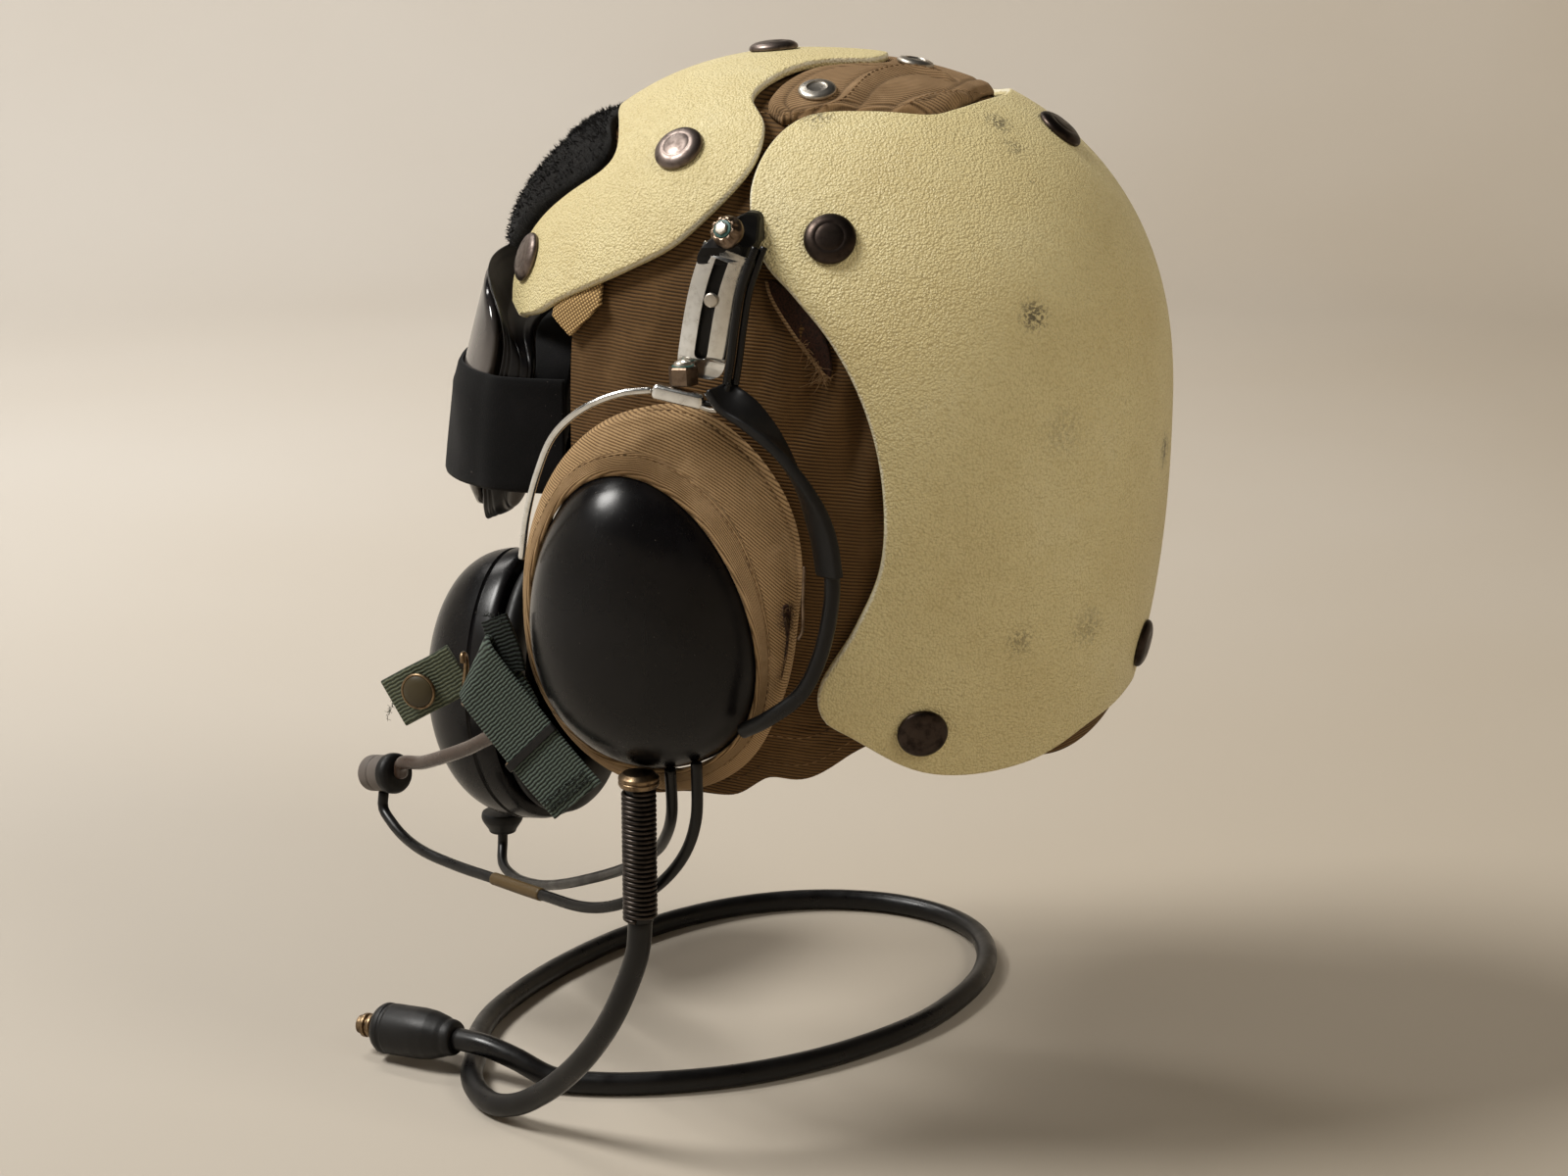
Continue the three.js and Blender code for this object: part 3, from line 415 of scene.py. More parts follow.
def flat_plate(name, outline, holes, thick, edge, place, material, cuts):
    """A thin plate from a flat outline with holes, cut across and bent by a map of (across, along, lift)."""
    curve = bpy.data.curves.new(name, "CURVE")
    curve.dimensions = "2D"
    curve.fill_mode = "BOTH"
    curve.extrude = thick / 2
    for loop in [outline, *holes]:
        spline = curve.splines.new("POLY")
        spline.points.add(len(loop) - 1)
        for point, (x, y) in zip(spline.points, loop):
            point.co = (x, y, 0, 1)
        spline.use_cyclic_u = True
    holder = bpy.data.objects.new(name, curve)
    bpy.context.scene.collection.objects.link(holder)
    bpy.context.view_layer.update()
    mesh = bpy.data.meshes.new_from_object(holder.evaluated_get(bpy.context.evaluated_depsgraph_get()))
    bpy.data.objects.remove(holder)
    mesh.materials.clear()
    ob = link(name, mesh, material)
    bm = bmesh.new()
    bm.from_mesh(mesh)
    merge_flat(bm, 1e-4)
    bmesh.ops.recalc_face_normals(bm, faces=bm.faces)
    bm.to_mesh(mesh)
    bm.free()
    bevel(ob, edge, 3, 50)
    bm = bmesh.new()
    bm.from_mesh(ob.data)
    for v in cuts:
        every = bm.verts[:] + bm.edges[:] + bm.faces[:]
        bmesh.ops.bisect_plane(bm, geom=every, plane_co=(0, v, 0), plane_no=(0, 1, 0))
    for vert in bm.verts:
        vert.co = Vector(in_frame(place(*vert.co)))
    bmesh.ops.recalc_face_normals(bm, faces=bm.faces)
    bm.to_mesh(ob.data)
    bm.free()
    shade(ob.data, 32)
    return ob


def cloth_patch(name, outer, inner, material, values=None):
    """A padded sheet between two grids of points, closed round its border."""
    rows, columns = outer.shape[:2]
    n = rows * columns
    ids = np.arange(n).reshape(rows, columns)
    border = np.concatenate([ids[0, :], ids[1:, -1], ids[-1, -2::-1], ids[-2:0:-1, 0]])
    verts = np.vstack([outer.reshape(-1, 3), inner.reshape(-1, 3)])
    faces = []
    for r in range(rows - 1):
        for c in range(columns - 1):
            faces.append((ids[r, c], ids[r, c + 1], ids[r + 1, c + 1], ids[r + 1, c]))
            faces.append((n + ids[r, c], n + ids[r + 1, c], n + ids[r + 1, c + 1], n + ids[r, c + 1]))
    faces += [(i, j, n + j, n + i) for i, j in zip(border, np.roll(border, -1))]
    spread = {key: np.concatenate([v.ravel(), v.ravel()]) for key, v in (values or {}).items()}
    return mesh_piece(name, verts, faces, material, spread)


def stitches(name, path, ups, material, pitch, long, wide=0.5, slot="cloth"):
    """A row of sewn stitches, each a small spindle, along a path on a surface with the given normals."""
    s = run_along(path)
    tangent = unit(np.gradient(path, axis=0))
    turns = round_turns(6)[:, None]
    verts, faces = [], []
    for v in np.arange(pitch / 2, s[-1], pitch):
        c, t, u = (read_columns(v, s, q) for q in (path, tangent, ups))
        t, u = unit(t), unit(u)
        side = np.cross(t, u)
        i = len(verts)
        verts.append(c - t * long / 2 - u * 0.1)
        for share, size in ((-0.32, 0.8), (0, 1.0), (0.32, 0.8)):
            ring = np.cos(turns) * side + np.sin(turns) * u * 0.8
            verts += list(c + t * long * share + u * (0.22 - share * share) * 0.8 + ring * wide / 2 * size)
        verts.append(c + t * long / 2 - u * 0.1)
        for k in range(6):
            n = (k + 1) % 6
            faces.append((i, i + 1 + k, i + 1 + n))
            for ring in (0, 6):
                faces.append((i + 1 + ring + k, i + 7 + ring + k, i + 7 + ring + n, i + 1 + ring + n))
            faces.append((i + 19, i + 13 + n, i + 13 + k))
    register(mesh_piece(name, verts, faces, material), slot)


def scatter(spread):
    """A random direction's three parts."""
    return np.array([rng.gauss(0, spread) for _ in range(3)])


def threads(name, roots, way, count, length, material, radius, slot="cloth"):
    """Loose frayed threads from a line of roots."""
    verts, faces = [], []
    for _ in range(count):
        k = rng.random() * (len(roots) - 1)
        i = min(int(k), len(roots) - 2)
        spot = roots[i] + (roots[i + 1] - roots[i]) * (k - i)
        lean = unit(np.asarray(way, float) + scatter(0.45))
        curl = scatter(0.5)
        long = length * (0.35 + 0.9 * rng.random())
        side = unit(np.cross(lean, [0.3, 0.5, 0.81]))
        other = np.cross(lean, side)
        first = len(verts)
        for u in np.linspace(0, 1, 7):
            c = spot + lean * long * u + curl * long * 0.7 * u * u + other * 0.3 * math.sin(u * 7)
            r = radius * (1 - 0.4 * u)
            low, wide = c - 0.5 * r * side, 0.87 * r * other
            verts += [c + r * side, low + wide, low - wide]
        for a in range(first, first + 18, 3):
            faces += [(a + m, a + (m + 1) % 3, a + 3 + (m + 1) % 3, a + 3 + m) for m in range(3)]
    register(mesh_piece(name, verts, faces, material, outward=False), slot)


# Materials
class Look:
    """A material of nodes round one shader, whose sockets are set as Socket_Name=value."""

    def __init__(self, name, **settings):
        self.material = bpy.data.materials.new(name)
        self.material.use_nodes = True
        self.tree = self.material.node_tree
        self.shader = self.tree.nodes["Principled BSDF"]
        self.set(**settings)

    def set(self, **settings):
        for key, value in settings.items():
            self.put(self.shader.inputs[key.replace("_", " ")], value)

    def put(self, socket, value):
        if isinstance(value, bpy.types.NodeSocket):
            self.tree.links.new(value, socket)
        elif isinstance(value, tuple) and len(value) == 3 and len(socket.default_value) == 4:
            socket.default_value = (*value, 1)
        else:
            socket.default_value = value

    def add(self, kind, inputs, out=0, **props):
        node = self.tree.nodes.new("ShaderNode" + kind)
        for key, value in props.items():
            setattr(node, key, value)
        for key, value in inputs.items():
            self.put(node.inputs[key], value)
        return node.outputs[out]

    def attribute(self, name):
        return self.add("Attribute", {}, out=2, attribute_name=name)

    def spot(self):
        """The point in the frame, in metres."""
        return self.add("TexCoord", {}, out=3)

    def grid(self, *stretch):
        """The point in millimetres, stretched along the three axes where that is given."""
        size = tuple(1000 * s for s in stretch or (1, 1, 1))
        return self.add("Mapping", {"Vector": self.spot(), "Scale": size})

    def noise(self, scale, detail, rough, grid=None, distort=0.0, out=0):
        inputs = {"Scale": scale, "Detail": detail, "Roughness": rough, "Distortion": distort}
        return self.add("TexNoise", {"Vector": grid or self.grid(), **inputs}, out=out)

    def cells(self, scale, grid=None, smooth=None):
        """Distance from the middle of each cell; smooth rounds their borders."""
        inputs = {"Vector": grid or self.grid(), "Scale": scale}
        if smooth is None:
            return self.add("TexVoronoi", inputs)
        return self.add("TexVoronoi", {**inputs, "Smoothness": smooth}, feature="SMOOTH_F1")

    def math(self, operation, a, b=0.0, c=0.0):
        return self.add("Math", {0: a, 1: b, 2: c}, operation=operation)

    def plus(self, a, b):
        return self.math("ADD", a, b)

    def times(self, a, b):
        return self.math("MULTIPLY", a, b)

    def span(self, value, a, b, c=0.0, d=1.0):
        """c up to a, d from b on, and a soft step between."""
        limits = {"Value": value, "From Min": a, "From Max": b, "To Min": c, "To Max": d}
        return self.add("MapRange", limits, interpolation_type="SMOOTHSTEP")

    def mix(self, share, a, b):
        return self.add("Mix", {0: share, 6: a, 7: b}, out=2, data_type="RGBA")

    def ramp(self, value, *stops):
        node = self.tree.nodes.new("ShaderNodeValToRGB")
        self.put(node.inputs[0], value)
        ramp = node.color_ramp
        while len(ramp.elements) < len(stops):
            ramp.elements.new(0.5)
        for element, (at, colour) in zip(ramp.elements, stops):
            element.position = at
            element.color = (*colour, 1)
        return node.outputs[0]

    def bump(self, height, depth, **under):
        """depth is the relief in millimetres."""
        return self.add("Bump", {"Height": height, "Distance": depth / 1000, "Strength": 1.0, **under})

    def wave(self, value, pitch):
        """1 on each thread and 0 between them."""
        return self.math("MULTIPLY_ADD", self.math("SINE", self.times(value, 2 * math.pi / pitch)), 0.5, 0.5)


def srgb(r, g, b):
    return tuple(((c / 255) / 12.92 if c < 10 else ((c / 255 + 0.055) / 1.055) ** 2.4) for c in (r, g, b))


# Scuffs on the shells: place, size and strength.
SCUFFS = [
    ((65.8, 89.5, 285.8), 8.5, 0.85), ((28.7, 69.3, 340.8), 9, 0.7), ((35.5, 75.7, 334), 7, 0.5),
    ((2, 120.9, 232), 10, 0.8), ((42.3, 83.1, 324.3), 1.6, 1.0), ((69.4, 87.6, 181.9), 9, 0.45),
    ((57, 17.5, 344.3), 9, 0.6), ((47.9, 105.4, 182.5), 12, 0.35), ((63.1, 99, 249.4), 14, 0.22),
    ((-66, 84, 270), 10, 0.6), ((-40, 102, 210), 12, 0.4), ((-78, 20, 325), 8, 0.4),
]


def shell_look():
    """Pebbled plastic with grime in its grain, scuffs and a pale worn edge; 'edge' is 1 on the rim."""
    k = Look("shell_plastic")
    wide = k.noise(0.02, 4, 0.6)
    fine = k.noise(0.22, 4, 0.65)
    grid = k.grid()
    bend = k.noise(0.7, 1.0, 0.5, grid, out=1)
    shift = k.add("VectorMath", {0: bend, "Scale": 0.75}, operation="SCALE")
    grain = k.cells(1.25, k.add("VectorMath", {0: grid, 1: shift}, operation="ADD"), smooth=0.12)
    height = k.plus(k.times(grain, -1.0), k.times(k.noise(0.7, 3, 0.6, grid), 0.7))
    stops = (0.3, srgb(206, 190, 140)), (0.55, srgb(215, 201, 152)), (0.75, srgb(222, 210, 166))
    colour = k.ramp(wide, *stops)
    colour = k.mix(k.span(fine, 0.5, 0.8, 0, 0.3), colour, srgb(190, 172, 118))
    colour = k.mix(k.span(grain, 0.4, 0.85, 0, 0.32), colour, srgb(160, 141, 92))
    grime = k.times(k.span(k.noise(0.9, 3, 0.6), 0.6, 0.74), k.span(k.noise(0.04, 3, 0.6), 0.5, 0.7))
    colour = k.mix(k.times(grime, 0.5), colour, srgb(84, 72, 50))
    spot = k.spot()
    rough = k.noise(0.75, 4, 0.7)
    for at, size, amount in SCUFFS:
        gap = k.add("VectorMath", {0: spot, 1: tuple(in_frame(at))}, out=1, operation="DISTANCE")
        near = k.span(gap, 0.1 * size / 1000, size / 1000, 1, 0)
        speck = k.span(k.plus(rough, k.times(near, 0.1)), 0.54, 0.62)
        colour = k.mix(k.times(k.times(near, speck), amount), colour, srgb(66, 60, 50))
    chip = k.plus(k.attribute("edge"), k.times(k.math("SUBTRACT", fine, 0.5), 0.35))
    colour = k.mix(k.span(chip, 0.8, 0.98, 0, 0.75), colour, srgb(232, 226, 204))
    k.set(Base_Color=colour, Roughness=k.span(grain, 0.1, 0.9, 0.38, 0.6), Normal=k.bump(height, 0.46))
    return k.material


def cloth_look(name, pitch, dark, light, worn):
    """Corded cloth: 'ribs' runs across the cords, 'run' along them, and 'seam' darkens a sewn line."""
    k = Look(name, Roughness=0.9, Sheen_Weight=0.12, Sheen_Roughness=0.6, Specular_IOR_Level=0.2)
    across = k.plus(k.attribute("ribs"), k.times(k.math("SUBTRACT", k.noise(0.09, 2, 0.5), 0.5), 0.9))
    cord = k.wave(across, pitch)
    thread = k.wave(k.plus(k.attribute("run"), k.times(across, 0.7)), 0.7)
    lift = k.plus(k.times(cord, 0.8), k.times(thread, 0.12))
    lift = k.plus(lift, k.times(k.noise(1.9, 3, 0.6), 0.3))
    colour = k.mix(k.span(lift, 0.1, 0.8), dark, light)
    colour = k.mix(k.span(k.noise(0.06, 4, 0.7), 0.45, 0.75, 0, 0.55), colour, worn)
    colour = k.mix(k.span(k.noise(0.025, 3, 0.6), 0.45, 0.7, 0, 0.5), colour, srgb(84, 62, 38))
    colour = k.mix(k.times(k.attribute("seam"), 0.6), colour, srgb(40, 28, 17))
    k.set(Base_Color=colour, Sheen_Tint=srgb(200, 170, 130), Normal=k.bump(lift, 0.24))
    return k.material


def gloss_look(name, rough, uneven=0.25):
    """Black polished plastic with a thin film of dust."""
    k = Look(name, Specular_IOR_Level=0.27)
    film = k.noise(0.03, 4, 0.65)
    streak = k.noise(0.5, 3, 0.6, k.grid(1, 1, 0.15))
    dust = k.math("GREATER_THAN", k.noise(0.9, 2, 0.6), 0.755)
    black = srgb(9, 8, 9)
    tone = k.mix(k.span(film, 0.4, 0.8), black, tuple(c * 2.2 for c in black))
    shine = k.plus(k.span(film, 0.35, 0.75, rough, rough + 0.07), k.span(streak, 0.55, 0.75, 0, 0.05))
    k.set(
        Base_Color=k.mix(k.times(dust, 0.4), tone, srgb(110, 102, 92)),
        Roughness=k.plus(shine, k.times(dust, 0.3)),
        Normal=k.bump(k.noise(0.04, 3, 0.5), uneven, Normal=k.bump(streak, 0.004)),
    )
    return k.material


def metal_look(name, colour, dark, rough, worn=0.5, grain=0.3):
    """Scratched metal with darker tarnish."""
    k = Look(name, Metallic=1.0)
    tarnish = k.noise(0.28, 4, 0.6)
    scratch = k.noise(1.4, 3, 0.6, k.grid(1, 1, 0.12))
    k.set(
        Base_Color=k.mix(k.span(tarnish, 0.42, 0.72, 0, worn), colour, dark),
        Roughness=k.plus(k.span(tarnish, 0.35, 0.75, rough, rough + 0.15), k.times(scratch, 0.06)),
        Normal=k.bump(scratch, 0.012 * grain),
    )
    return k.material


def rubber_look(name, colour, worn, rough, relief=0.03):
    k = Look(name, Specular_IOR_Level=0.34)
    fine = k.noise(1.6, 3, 0.6)
    wide = k.noise(0.08, 4, 0.6)
    k.set(
        Base_Color=k.mix(k.span(wide, 0.5, 0.8, 0, 0.5), colour, worn),
        Roughness=k.plus(k.span(wide, 0.3, 0.7, rough - 0.08, rough + 0.12), k.times(fine, 0.1)),
        Normal=k.bump(k.plus(fine, k.times(wide, 2)), relief),
    )
    return k.material


def pile_look():
    k = Look("pad_pile", Roughness=1.0, Sheen_Weight=0.12, Sheen_Roughness=0.5, Specular_IOR_Level=0.1)
    tuft = k.noise(0.5, 5, 0.7, distort=0.6)
    hair = k.noise(2.4, 4, 0.7, k.grid(1, 1, 0.4))
    both = k.plus(k.times(tuft, 0.7), k.times(hair, 0.5))
    tone = k.ramp(both, (0.35, srgb(5, 5, 5)), (0.65, srgb(17, 16, 16)), (0.9, srgb(46, 44, 42)))
    k.set(Base_Color=tone, Normal=k.bump(both, 1.1))
    return k.material


def neoprene_look():
    k = Look("cover_neoprene", Roughness=0.95, Sheen_Weight=0.05, Specular_IOR_Level=0.2)
    wide = k.noise(0.06, 3, 0.6)
    lint = k.math("GREATER_THAN", k.noise(0.8, 2, 0.5), 0.76)
    colour = k.mix(k.span(wide, 0.4, 0.7), srgb(6, 6, 7), srgb(12, 11, 13))
    relief = k.bump(k.plus(k.cells(2.0), k.times(wide, 2)), 0.08)
    k.set(Base_Color=k.mix(k.times(lint, 0.5), colour, srgb(110, 104, 98)), Normal=relief)
    return k.material


def webbing_look(name, dark, light, pitch, keys=("along", "across")):
    """Woven strap with cross ribs; the two attributes run along and across the strap."""
    k = Look(name, Roughness=0.8, Sheen_Weight=0.08, Specular_IOR_Level=0.25)
    along, across = k.attribute(keys[0]), k.attribute(keys[1])
    weft = k.wave(k.plus(along, k.times(k.wave(across, 3.8), 0.2)), pitch)
    warp = k.math("ABSOLUTE", k.math("SINE", k.times(across, math.pi / 1.9)))
    knot = k.times(k.math("POWER", weft, 0.8), k.math("MULTIPLY_ADD", k.math("POWER", warp, 0.5), 0.45, 0.55))
    height = k.plus(knot, k.times(k.noise(2.0, 3, 0.6), 0.25))
    colour = k.mix(k.span(height, 0.2, 0.95), dark, light)
    colour = k.mix(k.span(k.noise(0.09, 3, 0.6), 0.5, 0.75, 0, 0.4), colour, srgb(52, 60, 50))
    k.set(Base_Color=colour, Normal=k.bump(height, 0.35))
    return k.material


def weave_look(name, dark, light, pitch):
    """A square weave over the attributes 'ribs' and 'run'."""
    k = Look(name, Roughness=0.85, Specular_IOR_Level=0.25)
    knots = k.times(k.wave(k.attribute("ribs"), pitch), k.wave(k.attribute("run"), pitch))
    both = k.plus(knots, k.times(k.noise(1.8, 3, 0.6), 0.3))
    k.set(Base_Color=k.mix(k.span(both, 0.1, 0.7), dark, light), Normal=k.bump(both, 0.3))
    return k.material


def lens_look():
    """Smoked lens, with a painted reflection that makes it paler grey towards the band that covers it."""
    k = Look("lens_gloss")
    level = k.add("SeparateXYZ", {0: k.spot()}, out=2)
    low, high = (256 - SEAT) / 1000, (288 - SEAT) / 1000
    # The pale grey mixed in near the band is a painted reflection.
    painted_reflection = k.times(k.span(level, low, high, 1, 0), k.span(k.noise(0.08, 3, 0.6), 0.2, 0.8, 0.7, 1))
    k.set(
        Base_Color=k.mix(painted_reflection, srgb(16, 15, 17), srgb(104, 98, 94)),
        Roughness=k.span(k.noise(0.05, 4, 0.6), 0.35, 0.75, 0.08, 0.2),
        Normal=k.bump(k.noise(0.04, 2, 0.5), 0.1),
    )
    return k.material


def lining_and_shade_look():
    # Dark reddish lining cloth; laid over the pocket's tear, the same material is painted shade.
    k = Look("slit_lining", Roughness=0.95)
    weave = k.noise(1.6, 3, 0.6)
    colour = k.mix(k.span(weave, 0.3, 0.7), srgb(18, 9, 6), srgb(62, 34, 22))
    k.set(Base_Color=colour, Normal=k.bump(weave, 0.2))
    return k.material


SHELL = shell_look()
# The cap and its pocket are one brown cloth: the cap's copy is darkened as painted shade and the pocket's
# lightened as painted light.
CAP_CLOTH_SHADED = cloth_look("cap_cloth", 1.12, srgb(27, 18, 10), srgb(102, 75, 44), srgb(112, 85, 54))
POCKET_CLOTH_LIT = cloth_look("pocket_cloth_painted_light", 0.92, srgb(90, 68, 45), srgb(177, 146, 107), srgb(190, 160, 124))
FLAP_CLOTH = cloth_look("flap_cloth", 1.0, srgb(84, 64, 44), srgb(146, 118, 86), srgb(160, 132, 100))
THREAD = cloth_look("thread", 0.5, srgb(60, 44, 28), srgb(128, 100, 70), srgb(168, 138, 104))
MESH = weave_look("tab_mesh", srgb(92, 68, 38), srgb(206, 172, 118), 1.05)
LINING_AND_TEAR_SHADE = lining_and_shade_look()
GLOSS = gloss_look("cup_gloss", 0.25)
FRAME = gloss_look("frame_gloss", 0.3, uneven=0.05)
BRONZE = metal_look("snap_bronze", srgb(66, 57, 52), srgb(34, 28, 26), 0.32, 0.8)
# The front snaps' metal is the back snaps' bronze made about twice as light: painted light.
BRONZE_LIT = metal_look("snap_pewter", srgb(124, 112, 106), srgb(70, 60, 56), 0.34, 0.8)
NICKEL = metal_look("nickel", srgb(200, 194, 184), srgb(120, 108, 90), 0.3)
CHROME = metal_look("chrome", srgb(236, 236, 234), srgb(190, 187, 180), 0.12, grain=0.1)
COPPER = metal_look("hex_bronze", srgb(134, 116, 100), srgb(78, 62, 50), 0.3, 0.8)
BRASS = metal_look("aged_brass", srgb(140, 119, 93), srgb(60, 45, 32), 0.3, 0.9)
COIL = metal_look("spring_coil", srgb(70, 64, 60), srgb(34, 30, 28), 0.3, 0.8)
TEAL = rubber_look("nut_ring", srgb(58, 92, 88), srgb(34, 52, 50), 0.35, 0.01)
RUBBER = rubber_look("black_rubber", srgb(11, 10, 10), srgb(26, 24, 23), 0.42)
CORD = rubber_look("cord_jacket", srgb(10, 9, 9), srgb(20, 19, 18), 0.28, 0.01)
TUBE = rubber_look("boom_tube", srgb(56, 40, 31), srgb(76, 60, 50), 0.2, 0.01)
SLEEVE_TAN = rubber_look("cord_sleeve", srgb(84, 66, 36), srgb(52, 42, 26), 0.4, 0.02)
GREY = rubber_look("mic_grey", srgb(98, 91, 86), srgb(72, 65, 60), 0.45, 0.02)
OLIVE = rubber_look("snap_olive", srgb(62, 54, 34), srgb(84, 72, 46), 0.42, 0.02)
PILE = pile_look()
NEOPRENE = neoprene_look()
WEBBING = webbing_look("strap_webbing", srgb(11, 15, 13), srgb(84, 97, 88), 1.22)
TAIL_WEB = webbing_look("tail_webbing", srgb(46, 52, 40), srgb(98, 104, 84), 1.25, ("across", "along"))
DARK_WEB = webbing_look("dark_webbing", srgb(6, 8, 7), srgb(34, 42, 36), 1.3)
LENS = lens_look()

# Cords
MIC_CORD = [
    (8, -160, 89.4), (9, -160, 84), (13, -155, 80), (19, -147.5, 77), (27, -137, 75.5), (38, -120, 75.5),
    (52, -100, 77.5), (68, -76, 79.5), (84, -54, 83), (93, -39, 89), (98, -25, 98), (100, -15, 110),
    (103, -9.5, 124), (103.5, -9, 143.3),
]
CROSS_CORD = [
    (-52, -138, 56.5), (-51.7, -138, 52.5), (-45, -135.5, 47), (-34, -126.5, 46), (-18, -112, 50),
    (0, -97, 57.5), (24, -76, 70), (52, -52, 86), (72, -36, 99), (87, -26, 110), (99, -19, 124),
    (103, -18, 140.1),
]
MAIN_CORD = [
    (108, -27, 89.6), (108, -28, 79), (106.5, -33, 65), (103.5, -40, 51), (98.5, -49.5, 37), (92.5, -60, 25),
    (87, -70.5, 15.5), (82.5, -81, 8.5), (77, -91.5, 4.8), (67.5, -101.5, 4.1), (54, -109.5, 4.1),
    (39, -114, 4.1), (22, -120, 4.1), (0, -123, 4.1), (-27, -121, 4.1), (-58, -114.5, 4.1),
    (-90, -103, 4.1), (-119, -86, 4.1), (-141, -64, 4.1), (-154, -38, 4.1), (-157, -12, 4.1),
    (-150, 11, 4.1), (-135, 28, 4.1), (-113, 38, 4.1), (-88, 41, 4.1), (-62, 38, 4.1), (-38, 31, 4.1),
    (-15, 19, 4.1), (7, 3, 4.1), (26, -17, 4.1), (40, -40, 4.1), (48, -62, 4.1), (51, -80, 5.2),
    (50.5, -94, 10.5), (48.5, -106, 13.2), (45, -118, 13),
]
PLUG_AT, PLUG_WAY, PLUG_LONG = np.array([44.7, -118.6, 13]), unit([-0.22, -0.97, -0.07]), 33
PLUG_PROFILE = [
    (0, 0), (5.7, 0), (6.3, 1.0), (6.6, 2.2), (6.6, 3.4), (7.4, 5.2), (8.7, 10), (9.2, 15), (9.2, 27.5),
    (8.9, 28), (8.9, 29), (9.2, 29.5), (9.2, 31), (7.9, PLUG_LONG), (0, PLUG_LONG),
]


def cord_piece(name, points, diameter):
    path = smooth_path(points, max(80, int(length_of(points) / 2)))
    ob = tube_piece(name, path, diameter / 2, CORD, sides=20)
    register(ob, "rubber", name.replace("_jacket", ""))


def plug_tip():
    """Three rings and a point."""
    profile = [(0, 0)]
    for h in (0, 8 / 3, 16 / 3):
        profile += [(4.4, h + 0.05), (4.4, h + 1.5), (3.4, h + 1.75), (3.4, h + 2.5)]
    profile += [(3.4, 9), (2.6, 9.0), (0, 8.8)]
    return lathe("plug_rings", soften(profile, 0.25), BRASS, PLUG_AT + PLUG_WAY * (PLUG_LONG + 0.3), PLUG_WAY)


plug = lathe("plug_shell", soften(PLUG_PROFILE, 0.5), RUBBER, PLUG_AT, PLUG_WAY, sides=64)
register(plug, "rubber", "plug_body")
tip = plug_tip()
register(tip, "brass", "plug_tip")
mic_run = smooth_path(MIC_CORD, 300)
sleeved = (mic_run[:, 0] > 52) & (mic_run[:, 0] < 68)
mic_sleeve = tube_piece("mic_cord_sleeve", mic_run[sleeved], 2.25, SLEEVE_TAN, sides=18)
register(mic_sleeve, "rubber")
cord_piece("mic_cord_jacket", MIC_CORD, 3.8)
cord_piece("cross_cord_jacket", CROSS_CORD, 3.8)
cord_piece("main_cord_jacket", MAIN_CORD, 8.0)


# Shells: the back one's edge is (bearing, reach), the front one's rows are its front and its rear edge point.
BACK_EDGE = [
    (0, 48), (11, 49.5), (21, 53), (26, 57), (28.5, 66), (31, 75), (38, 80), (47, 82), (57, 80), (64, 75),
    (73, 69), (86, 64.5), (101, 64), (115, 68), (123, 74.5), (130, 82.5), (134.5, 84), (138, 81), (146, 74),
    (155, 63), (163, 55), (172, 51.5), (180, 50.5),
]
FRONT_BAND = np.array([
    (0, -13, 0, 32), (8, -12.5, 6, 30.5), (15, -11, 11, 23), (21, -9.5, 18, 18.3), (26.5, -8.7, 25.5, 15.5),
    (30.5, -9, 33, 18.4), (32.5, -11, 41, 17), (32.5, -15, 48, 10.5), (30.5, -22, 53, 1),
    (27.5, -29.5, 53.5, -10), (24.8, -36, 51.5, -20), (23.8, -40, 48, -29), (25.5, -42.6, 45, -35),
    (31, -43.4, 40, -40.5),
])
BACK_REACH = 118.0
ROUND = 1.1
WEAR = 2.2
UNDER_WEAR = 0.7


def rim_rows(face, rounding):
    """(distance from the rim, offset, wear) from the flat to the rim, round one face's edge."""
    out = []
    for a in np.linspace(0, math.pi / 2, 6):
        d, drop = ROUND * (1 - math.sin(a)), ROUND * (1 - math.cos(a))
        wear = UNDER_WEAR if face < 0 else 1 - 0.6 * min(d, WEAR) / WEAR
        out.append((d, face + rounding * drop, wear))
    return out


OUTER_RIM = rim_rows(0.0, -1)
INNER_RIM = rim_rows(-SHELL_THICK, 1)


def back_shell():
    edge = turned_outline(BACK_EDGE, 321)
    shares = np.linspace(0, 1, 41)[1:-1]
    rows = [(s, 0.0, max(0.0, 1 - (1 - s) * BACK_REACH / WEAR)) for s in shares]
    rows += [(1 - d / BACK_REACH, offset, wear) for d, offset, wear in OUTER_RIM + INNER_RIM[::-1]]
    rows += [(s, -SHELL_THICK, 0.0) for s in shares[::-1]]
    loops = [head_point(REAR_VIEW(edge[:, 0] * s, edge[:, 1] * s), offset) for s, offset, _ in rows]
    pole, under = (head_point(REAR_VIEW(0.0, 0.0), offset) for offset in (0.0, -SHELL_THICK))
    values = {"edge": [wear for _, _, wear in rows]}
    return loft("back_shell_skin", loops, SHELL, start=pole, end=under, values=values)


def band_section(width):
    """Columns of share across the band, offset and wear, round the band's section."""
    flat = np.linspace(0.05, 0.95, 25)
    rows = [(d / width, offset, wear) for d, offset, wear in OUTER_RIM[::-1]]
    rows += [(s, 0.0, max(0.0, 1 - min(s, 1 - s) * width / WEAR)) for s in flat]
    rows += [(1 - d / width, offset, wear) for d, offset, wear in OUTER_RIM + INNER_RIM[::-1]]
    rows += [(s, -SHELL_THICK, 0.0) for s in flat[::-1]]
    rows += [(d / width, offset, wear) for d, offset, wear in INNER_RIM]
    return np.transpose(rows)


def end_lip(ring, before):
    """Two shrinking rows that close a short end."""
    middle = ring.mean(0)
    ahead = unit(middle - before.mean(0))
    return [middle + (ring - middle) * shrink + ahead * push for shrink, push in ((0.985, 0.35), (0.95, 0.6))]


